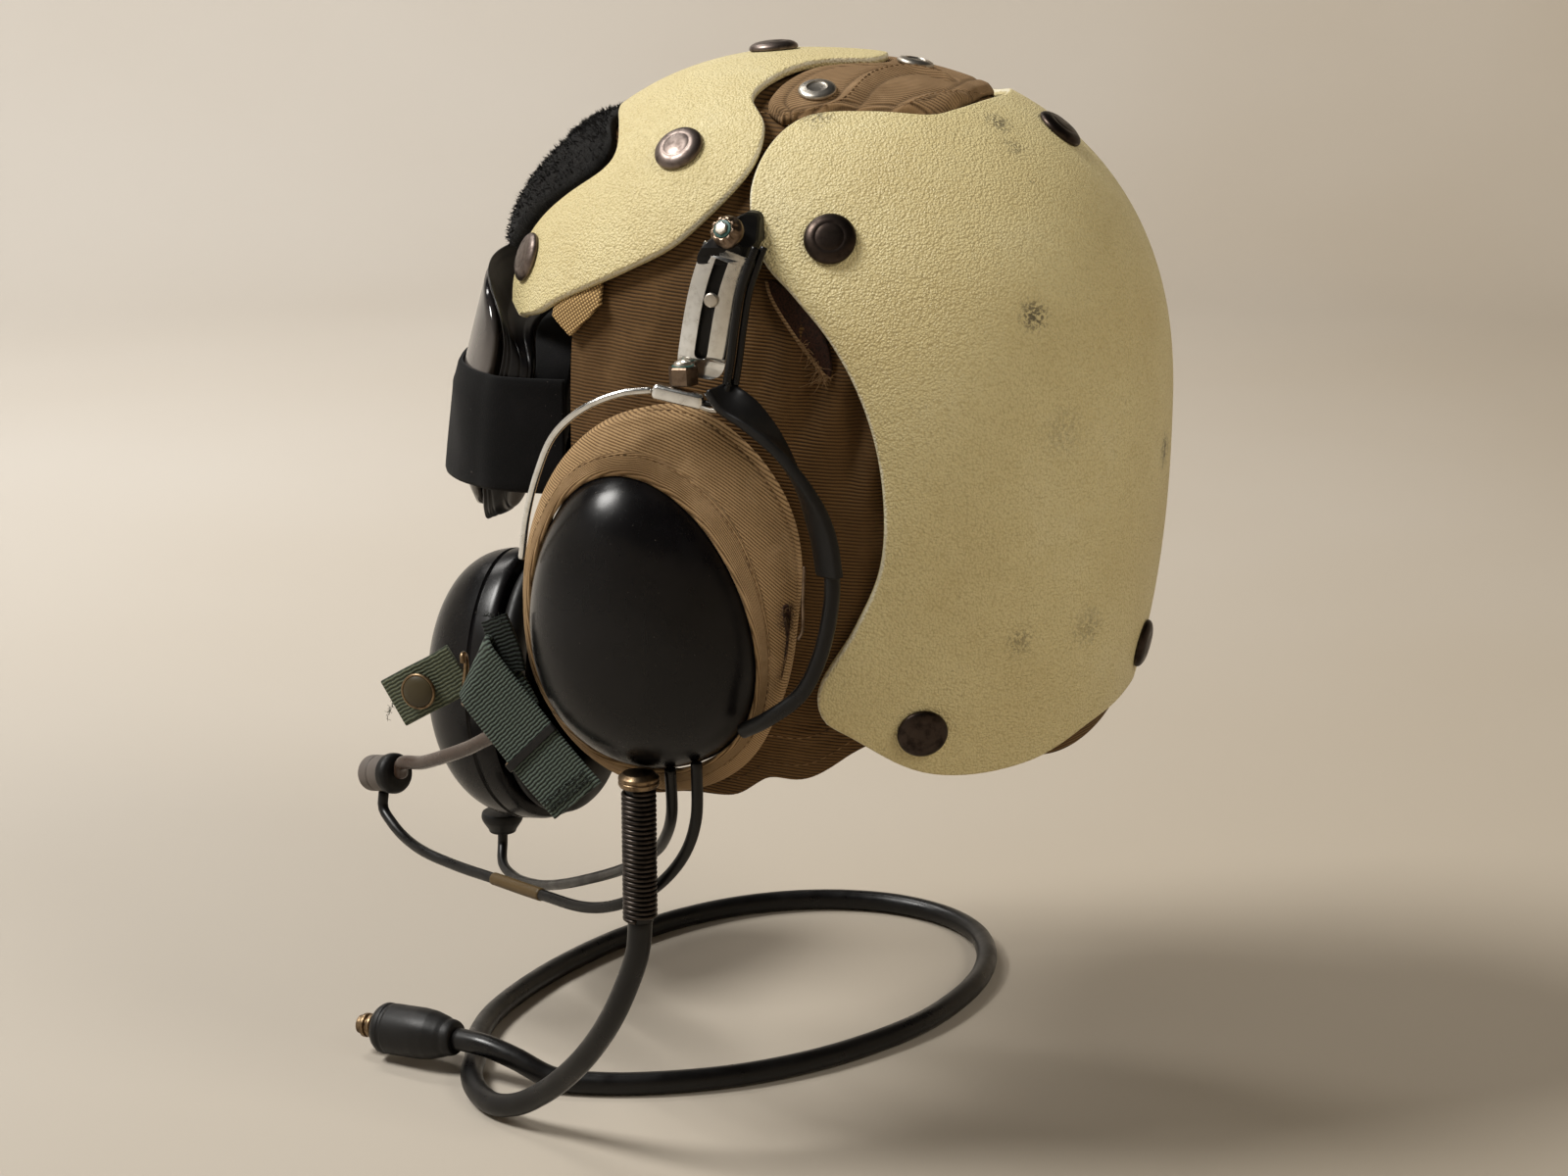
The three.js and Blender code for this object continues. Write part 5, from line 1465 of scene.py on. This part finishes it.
strap_rows = [(strap_point(*place), STRAP_RUN + slant * STRAP_RISE) for *place, slant in STRAP]
strap = ribbon("chin_strap_web", strap_rows, 20.5, 1.8, WEBBING, count=220, across=21, slanted=True)
register(strap, "webbing", "chin_strap")
zigzag = np.where(np.arange(24) % 2, 0.8, -0.8)[:, None] * STRAP_RISE
for number, (rise, drift) in enumerate(((-48.3, 0.3), (-51.2, 0.5)), 1):
    first, last = strap_point(111.4, rise, drift - 9.2), strap_point(111.4, rise, drift + 9.2)
    line = first + (last - first) * np.linspace(0, 1, 24)[:, None] + zigzag
    ups = np.tile([1.0, 0, 0], (24, 1))
    stitches(f"strap_stitches_{number}", line, ups, DARK_WEB, pitch=1.0, long=1.3, slot="webbing")
register(ribbon("strap_keeper_web", KEEPER, 21.8, 1.7, RUBBER, count=12), "rubber", "strap_keeper")
register(ribbon("strap_upper_web", UPPER, 9.5, 1.8, DARK_WEB, count=50, across=15), "webbing")
threads("strap_frays", UPPER_EDGE, [0.2, -0.2, 0.9], 40, 1.8, DARK_WEB, 0.14, slot="webbing")
register(ribbon("strap_tail_web", TAIL, 16.5, 1.8, TAIL_WEB, count=90, across=21), "webbing", "strap_tail")
threads("tail_frays", TAIL_EDGE, [0, -0.8, -0.5], 36, 1.6, TAIL_WEB, 0.12, slot="webbing")

BUTTON = np.array([94.0, -107.5, 156.5]), [1, -0.05, 0.02]
BUTTON_RING = [(0, 0), (5.0, 0), (5.9, 0.5), (6.2, 1.2), (6.0, 1.9), (5.5, 2.1), (5.1, 1.6), (0, 1.6)]
BUTTON_TOP = [(0, 1.5), (5.2, 1.5), (5.2, 1.9), (4.4, 2.5), (2.6, 3.0), (0, 3.15)]
button = [
    lathe("strap_snap_cap", soften(BUTTON_RING, 0.25), BRASS, *BUTTON, sides=64),
    lathe("strap_snap_top", BUTTON_TOP, OLIVE, *BUTTON),
]
register(join("strap_snap_cap", button), "bronze", "strap_snap")

# Buckle: the bar in the fold, a bent hook beside it and a short pip, in the strap's plane.
BAR = [(100.2, -1.9 + SLANT * d, -2.6 + d) for d in (-11.6, 0, 8.6)]
HOOK = [
    (100.2, -7, -14.2), (98, -6.5, -15.4), (95.4, -2, -12.4), (95.2, 2.6, -7.6), (96.6, 5.4, -5),
    (98.8, 5.6, -4.6), (99.6, 3.6, -5.8),
]
PIP = [(107, -31.6, -11.2), (107, -31.6, -12), (107, -31.7, -12.8)]
buckle = [
    wire(name, [strap_point(*p) for p in line], count, radius, BRASS, sides)
    for name, line, count, radius, sides in (
        ("strap_buckle_bar", BAR, 40, 1.15, 14), ("strap_buckle_loop", HOOK, 60, 0.95, 12),
        ("strap_buckle_pip", PIP, 8, 1.1, 14),
    )
]
register(join("strap_buckle_bar", buckle), "nickel", "strap_buckle")

# Headset arm
YOKE_WIRE = [
    (111.5, -20.3, 264.8), (113, -30, 263.4), (113.5, -42, 258), (112.5, -52, 249), (110.5, -58.5, 236),
    (107, -63.5, 222), (101, -68, 206),
]
FAR_YOKE = [
    (-107.6, -8, 266), (-111, -20, 256), (-112, -42, 236), (-106, -66, 212), (-96, -90, 188),
    (-83, -116, 166), (-78.1, -126, 157.6),
]
BAND_TUBE = [
    (104.4, 11.2, 309.0), (105.6, 9.6, 304), (106.6, 7.2, 296), (107.6, 5.6, 285.2), (108.8, 4.6, 275.2),
    (110.4, 3.8, 267.5),
]
REAR_TUBE = np.array(BAND_TUBE) + [-1.6, 2.3, 0]
LOWER_TUBE = [
    (110, 37.2, 212), (110.4, 37.4, 202.8), (111.3, 34.2, 185), (111.8, 28, 171.8), (111.6, 17, 162.5),
    (108.5, 8, 157),
]
LOWER_WIRE = [(110.4, 28.6, 212), (110.6, 28.2, 202), (110.2, 27.8, 191), (109.6, 26.4, 188.6)]
SLEEVE = [
    ((111.5, 1.5, 267), (0.9, -0.2, -0.5)), ((112.6, 5, 263.5), (0.75, -0.1, -0.7)),
    ((113.6, 12, 259), (0.7, 0.3, 0.6)), ((113.8, 21, 250), (0.6, 0.55, 0.5)),
    ((113.2, 30, 236), (0.6, 0.75, 0.3)), ((111.5, 34.6, 223), (0.6, 0.8, 0.1)),
    ((110, 36.5, 209.8), (0.6, 0.8, 0)),
]

register(wire("near_yoke_bar", YOKE_WIRE, 90, 1.15, CHROME, 14), "chrome", "near_yoke_wire")
register(wire("far_yoke_bar", FAR_YOKE, 110, 1.8, RUBBER, 14), "rubber", "far_yoke_wire")
tubes = [wire("band_tube_skin", BAND_TUBE, 70, 1.35, CORD), wire("band_tube_rear", REAR_TUBE, 70, 1.15, CORD)]
register(join("band_tube_skin", tubes), "rubber", "band_tube")
register(wire("lower_tube_skin", LOWER_TUBE, 90, 2.5, CORD), "rubber", "lower_tube")
register(wire("lower_wire", LOWER_WIRE, 30, 0.5, COPPER, 10), "brass")
register(ribbon("sleeve_skin", SLEEVE, 9.6, 3.4, RUBBER, count=110, crown=0.7), "rubber", "sleeve_arm")

# The slotted plate is bowed and leans forward as it goes down.
PLATE_LINE = spline_open(
    [(2.8, 311), (0.5, 304.2), (-1.6, 297), (-3.2, 289.5), (-4.6, 281.5), (-5.8, 274.5), (-6.6, 268.5)], 90
)
PLATE_WAY = unit(np.gradient(PLATE_LINE, axis=0))
PLATE_RUN = run_along(PLATE_LINE)
PLATE_LONG = float(PLATE_RUN[-1])
PLATE_CUT = 1.5
BLOCK_EDGE = [
    (-5.5, 309.5), (-7.4, 305.8), (-7.4, 303.4), (6.6, 302.9), (8.2, 308.2), (9.4, 309.4), (7.6, 317),
    (3.4, 318),
]
BLOCK_RADII = [2.0, 1.0, 0.8, 0.8, 1.2, 1.0, 1.6, 2.5]
PIN_LEVEL = 293
PIN_PROFILE = [(0, 0), (2.1, 0), (2.3, 0.3), (2.3, 1.0), (1.9, 1.4), (0, 1.6)]
NECK_PROFILE = [(0, 0), (1.6, 0), (1.6, 3.2), (0, 3.2)]


def on_plate(across, along, lift):
    y, h = read_columns(along, PLATE_RUN, PLATE_LINE)
    dy, dh = read_columns(along, PLATE_RUN, PLATE_WAY)
    share = along / PLATE_LONG
    bow = 102.6 + 3.4 * share + 2.2 * math.sin(math.pi * min(share, 1.0))
    return (bow + lift - 0.03 * across**2, y - dh * across, h + dy * across)


def on_tongue(across, along, lift):
    """The tongue lies under the plate."""
    return on_plate(across, along, lift - 1.9)


def on_block(y, h, lift):
    """The block's back lies on the cap, and its front slopes to the rear and to the top."""
    back = float(head_side(y, h, CAP_LAYER + 0.3))
    front = 105.4 - 1.2 * max(0.0, y - 3) - 1.45 * max(0.0, h - 308.5)
    return (back if lift < 0 else max(front, back + 1.5) - 0.9 * (lift < 1.9), y, h)


def strip(half, first, last, radii, steps=5):
    """A strip's rounded outline from its half width and its two ends."""
    return rounded([(-half, first), (half, first), (half, last), (-half, last)], radii, steps)


def mirror_x(ob):
    """Sends a copy of a piece to the far side."""
    other = ob.copy()
    other.data = ob.data.copy()
    other.name = other.data.name = ob.name.replace("near", "far")
    bpy.context.scene.collection.objects.link(other)
    other.data.transform(Matrix.Diagonal((-1, 1, 1, 1)))
    other.data.flip_normals()
    return other


plate_edge = strip(7.7, 3.5, PLATE_LONG, (0.3, 0.3, 5.5, 5.5), steps=7)
slot_edge = strip(2.1, 6.5, PLATE_LONG - 6, (0.4, 0.4, 2.0, 2.0), steps=7)
tongue_edge = strip(4.2, 1, PLATE_LONG - 4, (2.0,) * 4)
block_edge = rounded(BLOCK_EDGE, BLOCK_RADII)
plate_cuts, tongue_cuts = np.arange(5, PLATE_LONG, PLATE_CUT), np.arange(2, PLATE_LONG, PLATE_CUT)
plate = flat_plate("near_plate", plate_edge, [slot_edge], 1.5, 0.4, on_plate, CHROME, plate_cuts)
tongue = flat_plate("near_tongue", tongue_edge, [], 1.4, 0.3, on_tongue, RUBBER, tongue_cuts)
block = flat_plate("near_block", block_edge, [], 4.0, 0.9, on_block, RUBBER, (304, 306, 308.5, 311, 314))
pin_at = np.array(on_plate(0.6, float(np.interp(-PIN_LEVEL, -PLATE_LINE[:, 1], PLATE_RUN)), 0.6))
pin = lathe("near_pin", soften(PIN_PROFILE, 0.2), NICKEL, pin_at, [1, 0, 0.02], sides=40)
neck_at = pin_at + [-1.6, 0.9, -2.8]
neck = lathe("near_pin_neck", soften(NECK_PROFILE, 0.2), RUBBER, neck_at, [0, 0, -1], sides=20)
block = join("near_block", [block, tongue, neck])
for ob, part, slot in ((plate, "slider_plate", "chrome"), (block, "slider_block", "rubber")):
    far = mirror_x(ob)
    register(ob, slot, "near_" + part)
    register(far, slot, "far_" + part)
register(pin, "nickel")

# Nuts, clip and links
NUT = np.array([99.0, 1.2, 312.2]), unit([1, -0.22, 0.5])
# Rows of radius, height and how deep the notches are.
NUT_ROWS = [
    (4.9, 0, 0), (5.3, 0.4, 0), (5.3, 1.8, 0), (4.7, 2.5, 0), (4.5, 2.7, 0.3), (4.3, 4.2, 0.7),
    (3.9, 4.6, 0.7), (3.0, 4.6, 0.3), (2.8, 4.2, 0),
]
NUT_RING = [(0, 4.0), (2.9, 4.0), (2.9, 4.9), (2.4, 5.0), (0, 5.0)]
NUT_CORE = [(0, 4.5), (2.2, 4.5), (2.2, 5.5), (1.8, 5.9), (0, 5.9)]
HEX = np.array([109.6, -10.2, 266.6]), [0, -0.05, 1]
HEX_PROFILE = [(0, 0), (4.2, 0), (4.7, 0.5), (4.7, 5.4), (4.2, 5.9), (0, 5.9)]
BOLT_PROFILE = [(0, 5.5), (3.0, 5.5), (3.0, 6.2), (2.6, 7.2), (1.2, 7.8), (0, 7.9)]
WASHER_PROFILE = [(0, 5.6), (3.4, 5.6), (3.4, 6.3), (0, 6.3)]
UPPER_LINK = [(112.4, -4, 262), (112.4, 0.5, 262), (111.6, 3.5, 264.5), (110.6, 4.6, 268)]
LOWER_LINK = [(113.4, -4, 261), (113.8, -1, 260.2), (113.8, 1.6, 260)]


def castle_nut(name, at, way, material):
    """A round nut with nine notches round its open end."""
    turns = round_turns(160)[:, None]
    a, b = side_ways(way)
    valley = 0.5 - 0.5 * np.tanh(4 * np.cos(9 * turns))
    circle = np.cos(turns) * a + np.sin(turns) * b
    rows = [at + way * h + (r - deep * valley) * circle for r, h, deep in NUT_ROWS]
    return loft(name, rows, material, start=at, end=at + way * 4.0)


nut = [
    castle_nut("block_nut_castle", *NUT, COPPER),
    lathe("block_nut_ring", soften(NUT_RING, 0.15), TEAL, *NUT, sides=40),
    lathe("block_nut_core", soften(NUT_CORE, 0.12), NICKEL, *NUT, sides=6, sharp=20),
]
register(join("block_nut_castle", nut), "nickel", "block_nut")
hexagon = [
    lathe("yoke_hex", HEX_PROFILE, COPPER, *HEX, sides=6, sharp=20),
    lathe("yoke_bolt", soften(BOLT_PROFILE, 0.25), NICKEL, *HEX, sides=32),
    lathe("yoke_washer", soften(WASHER_PROFILE, 0.2), TEAL, *HEX, sides=32),
]
register(join("yoke_hex", hexagon), "nickel", "yoke_nut")
register(from_node("yoke_clip_plate", "yoke_clip", CHROME, 1.7, 6), "chrome", "yoke_clip")
register(wire("yoke_link_upper", UPPER_LINK, 40, 1.0, CORD, 12), "rubber")
register(wire("yoke_link_lower", LOWER_LINK, 20, 0.75, NICKEL, 12), "nickel")

# What hangs from the cups
SPRING = dict(x=108, y=-27, turns=27, top=134.1, bottom=90.8, radius=5.0, wire=0.72, core=4.3)
RING_PROFILE = [(0, 0), (6, 0), (6.6, 1), (6.6, 1.8), (6.2, 2.1), (6.6, 2.4), (6.6, 3.4), (5, 4.8), (0, 4.8)]
BOOT_PROFILE = [(0, 0), (5, 0), (5.4, 1.2), (7.6, 4.6), (8, 6), (7.8, 7.4), (7.5, 8), (0, 8)]
BOOM = [
    (13.5, -150.6, 99.2), (18, -148, 104.5), (28, -136, 109), (42, -121, 117), (54, -107, 125),
    (66, -93, 134), (79, -78, 141.5), (86.4, -68, 147),
]
MIC_AT, MIC_WAY = np.array([4, -167, 95.0]), unit([0.45, 0.85, 0.2])
MIC_PROFILE = [
    (0, 0.6), (3.4, 0.6), (3.6, 0), (5.4, 0), (6.4, 1.2), (6.6, 2), (6.6, 5.8), (6.3, 6.0), (6.3, 6.3),
    (6.6, 6.5), (6.6, 12), (0, 12),
]
LID_PROFILE = [(0, 0), (7.2, 0), (7.4, 0.8), (7.4, 3.0), (6.6, 4.2), (5, 5), (0, 5)]
UP = [0, 0, 1]


def spring():
    """A wound coil round the cord's dark core."""
    t = np.linspace(0, 1, SPRING["turns"] * 26)
    a = t * SPRING["turns"] * 2 * math.pi
    x, y = SPRING["x"] + SPRING["radius"] * np.cos(a), SPRING["y"] + SPRING["radius"] * np.sin(a)
    path = np.stack([x, y, SPRING["top"] + (SPRING["bottom"] - SPRING["top"]) * t], 1)
    coil = tube_piece("cord_spring_coil", path, SPRING["wire"], COIL, sides=8)
    profile = [(0, 0), (SPRING["core"], 0), (SPRING["core"], 44.9), (0, 44.9)]
    core = lathe("spring_core", profile, CORD, [SPRING["x"], SPRING["y"], 90], UP)
    return join("cord_spring_coil", [coil, core])


collar = lathe("cord_ring_collar", soften(RING_PROFILE, 0.3), BRASS, [SPRING["x"], SPRING["y"], 135.2], UP)
register(collar, "brass", "cord_ring")
register(spring(), "rubber", "cord_spring")
boot = lathe("far_grommet_boot", soften(BOOT_PROFILE, 0.4), RUBBER, [-52, -138, 57], UP)
register(boot, "rubber", "far_grommet")
register(wire("mic_boom_tube", BOOM, 120, 2.5, TUBE, 18), "brown_tube", "mic_boom")
register(lathe("mic_capsule", soften(MIC_PROFILE, 0.3), GREY, MIC_AT, MIC_WAY), "grey_plastic", "mic_body")
lid = lathe("mic_lid", soften(LID_PROFILE, 0.5), RUBBER, MIC_AT + MIC_WAY * 12.3, MIC_WAY)
register(lid, "rubber", "mic_cap")

# Goggles
GOGGLE = dict(
    middle=254, side=74, brow=39, chin=53, lens=56, lens_back=-60, face=34, face_back=-58,
    tilt=0.28, tuck=0.5,
)
COVER = dict(low=221.5, high=259, thick=1.7)
FRAME_GROOVES = (0.09, 0.2, 0.46, 0.8)
FRAME_WALL = 3


def rounded_end(x, half, power):
    """1 in the middle and 0 at a half width, as a boxy arc."""
    return (1 - (np.abs(x) / half) ** power) ** (1 / power)


def lens_depth(x):
    return GOGGLE["lens_back"] - GOGGLE["lens"] * rounded_end(x, GOGGLE["side"] + 4, 2.6)


def face_depth(x, gap=0.0):
    return GOGGLE["face_back"] - GOGGLE["face"] * rounded_end(x, GOGGLE["side"] + 8, 2.2) + gap


def tilted(y, z):
    """The goggles lean back above the band that covers them and tuck in below it."""
    above, below = np.maximum(0, z - COVER["high"] + 8), np.maximum(0, COVER["low"] - z)
    return y + GOGGLE["tilt"] * above + GOGGLE["tuck"] * below


def goggle_loop(side, top, bottom, depth):
    """A boxy loop round the goggles, with room for the nose."""
    boxy = 2 / 3.6
    turn = round_turns(220)
    c, s = np.cos(turn), np.sin(turn)
    x = side * np.sign(s) * np.abs(s) ** boxy
    lift = np.sign(c) * np.abs(c) ** boxy
    nose = np.where(c < 0, 17 * np.exp(-((x / 19) ** 2)), 0)
    z = GOGGLE["middle"] + lift * np.where(c > 0, top, bottom) + nose
    return np.stack([x, tilted(depth(x), z), z], 1)


def shrunk(loop, by):
    out = loop.copy()
    out[:, 0] *= 1 - by / GOGGLE["side"]
    out[:, 2] = GOGGLE["middle"] + (loop[:, 2] - GOGGLE["middle"]) * (1 - by / 40)
    return out


def blended(rows, steps):
    """Smooth rows between given ones."""
    out = np.array([spline_open(column, steps, even=False) for column in np.swapaxes(rows, 0, 1)])
    return list(out.transpose(1, 0, 2))


def goggle_frame(front):
    side, chin = GOGGLE["side"], GOGGLE["chin"]
    waist = goggle_loop(side, 23, chin - 5, lambda x: (lens_depth(x) + face_depth(x)) / 2)
    rear = goggle_loop(side, 19, 38, lambda x: face_depth(x, -2.1))
    outer = blended([front, waist, rear], 40)
    for k, share in enumerate(np.linspace(0, 1, 40)):
        outer[k] = shrunk(outer[k], 0.5 * sum(ridge(share - at, 0.022) for at in FRAME_GROOVES))
    inner = blended([shrunk(r, FRAME_WALL) for r in (front, waist, rear)], 26)
    rim = (front + shrunk(front, FRAME_WALL)) / 2 - [0, 0.8, 0]
    return loft("goggle_frame_skin", [rim] + outer + inner[::-1], FRAME, wrap=True)


def goggle_seal():
    # Rows of how much narrower the loop is, its top and bottom, and how far behind the face it lies.
    rows = ((1.4, 19, 35, 0), (1.6, 20, 36, 7), (2.2, 20, 35, 12))
    outer = [
        goggle_loop(GOGGLE["side"] - narrow, top, low, lambda x, gap=gap: face_depth(x, gap))
        for narrow, top, low, gap in rows
    ]
    inner = [shrunk(r, 8) for r in outer]
    return loft("goggle_seal_foam", blended(outer, 16) + blended(inner, 16)[::-1], NEOPRENE, wrap=True)


def goggle_lens(front):
    edge = shrunk(front, 3.6)
    edge[:, 2] = np.minimum(edge[:, 2], GOGGLE["middle"] + GOGGLE["brow"] - 3)

    def glass(offset):
        """The middle and the rows of one face of the lens."""
        heart = np.array([0, lens_depth(0) + offset, GOGGLE["middle"] + 6])
        rows = []
        for s in np.linspace(0, 1, 24)[1:]:
            x, _, z = (heart + (edge - heart) * s).T
            rows.append(np.stack([x, tilted(lens_depth(x) + offset, z), z], 1))
        return heart, rows

    (top, face), (under, rear) = glass(-0.4), glass(2.3)
    return loft("goggle_lens_sheet", face + rear[::-1], LENS, start=top, end=under)


def cover_band():
    """The band hugs the lens and the sides, and leans out a little towards its lower edge."""
    half = [(x, float(lens_depth(x)) - 1.9) for x in (0, 14, 28, 42, 50, 57, 63, 68, 71.5)]
    half += [(74.6, -87), (75.6, -78), (75.3, -70), (74.6, -62.5)]
    plan = smooth_path([(-x, y, 0) for x, y in half[:0:-1]] + [(x, y, 0) for x, y in half], 240)
    way = unit(np.gradient(plan, axis=0))
    out = np.stack([way[:, 1], -way[:, 0], np.zeros(len(way))], 1)
    low, high, t = COVER["low"], COVER["high"], COVER["thick"]
    face = [(0.2, low), (0.75 * t, low - 0.3), (t, low + 0.8)]
    face += [(t, z) for z in np.linspace(low + 3, high - 3, 14)]
    face += [(t, high - 0.9), (0.75 * t, high - 0.1), (0.2, high)]
    face += [(0, z) for z in np.linspace(high - 0.6, low + 0.6, 14)]
    loops = []
    for at, away in zip(plan, out):
        front = float(np.clip((-at[1] - 70) / 30, 0, 1))
        loop = []
        for k, z in face:
            slope = 3.2 * front * ((high - z) / (high - low)) ** 1.4
            lean = GOGGLE["tilt"] * max(0.0, z - high + 8) * front
            dent = 0.35 * math.sin(at[0] * 0.21 + z * 0.13) * (k > 1)
            loop.append(at + away * (k - t / 2 + dent) + np.array([0, lean - slope, z]))
        loops.append(np.array(loop))
    return loft("goggle_cover_band", loops, NEOPRENE, start=loops[0].mean(0), end=loops[-1].mean(0))


lens_edge = goggle_loop(GOGGLE["side"] - 1, GOGGLE["brow"], GOGGLE["chin"], lens_depth)
register(cover_band(), "neoprene", "goggle_cover")
register(goggle_frame(lens_edge), "gloss_black", "goggle_frame")
seal = goggle_seal()
register(seal, "pile", "goggle_seal")
register(goggle_lens(lens_edge), "lens", "goggle_lens")

# Floor and light
GROUND, CURVE, WALL = 1700, 700, 1500


def floor_material():
    """Pale floor paint, with painted shade that warms and darkens it a little to one side."""
    k = Look("floor", Roughness=0.9)
    sideways = k.add("SeparateXYZ", {0: k.spot()}, out=1)
    uneven = k.plus(sideways, k.noise(0.002, 2, 0.5))
    # The warmer, darker colour towards one side is painted shade.
    k.set(Base_Color=k.mix(k.span(uneven, -1.2, 1.6), srgb(192, 187, 180), srgb(172, 160, 142)))
    return k.material


def backdrop():
    """A round ground that curves up into a wall."""
    turns = round_turns(96)
    profile = [(r, 0.0) for r in (300, 700, 1200, GROUND)]
    angles = np.linspace(0.1, math.pi / 2, 16)
    profile += [(GROUND + CURVE * math.sin(a), CURVE * (1 - math.cos(a))) for a in angles]
    profile += [(GROUND + CURVE, 1100), (GROUND + CURVE, WALL)]
    rows = [np.stack([r * np.cos(turns), r * np.sin(turns), np.full(96, float(h))], 1) for r, h in profile]
    ob = loft("backdrop", rows, floor_material(), start=np.zeros(3))
    ob.data.flip_normals()
    return ob


def lamp(name, at, target, size, power, colour, mirrored=True):
    """A round area light; one that isn't mirrored shows in no glossy surface."""
    data = bpy.data.lights.new(name, "AREA")
    data.shape = "ELLIPSE"
    data.size = data.size_y = size
    data.energy = power
    data.color = colour
    ob = bpy.data.objects.new(name, data)
    bpy.context.scene.collection.objects.link(ob)
    ob.location = at
    ob.visible_glossy = mirrored
    ob.rotation_euler = (Vector(target) - Vector(at)).to_track_quat("-Z", "Y").to_euler()


backdrop()
world = bpy.data.worlds.new("studio")
bpy.context.scene.world = world
world.use_nodes = True
sky = world.node_tree.nodes["Background"].inputs
sky[0].default_value = (*srgb(226, 222, 216), 1)
sky[1].default_value = 0.03
# The key light is high on the wearer's front left.
lamp("key", (0.7, -1.4, 1.85), (0, 0, -0.1), 0.9, 68, (1, 0.98, 0.94))
lamp("side", (0.8, 1.75, 1.35), (0, 0.1, 0), 0.9, 19, (1, 0.955, 0.88), mirrored=False)
lamp("wall", (-0.6, -0.9, 1.1), (-1.9, -0.6, 0.1), 0.8, 20, (1, 0.965, 0.92))
bpy.context.scene.view_settings.view_transform = "Standard"
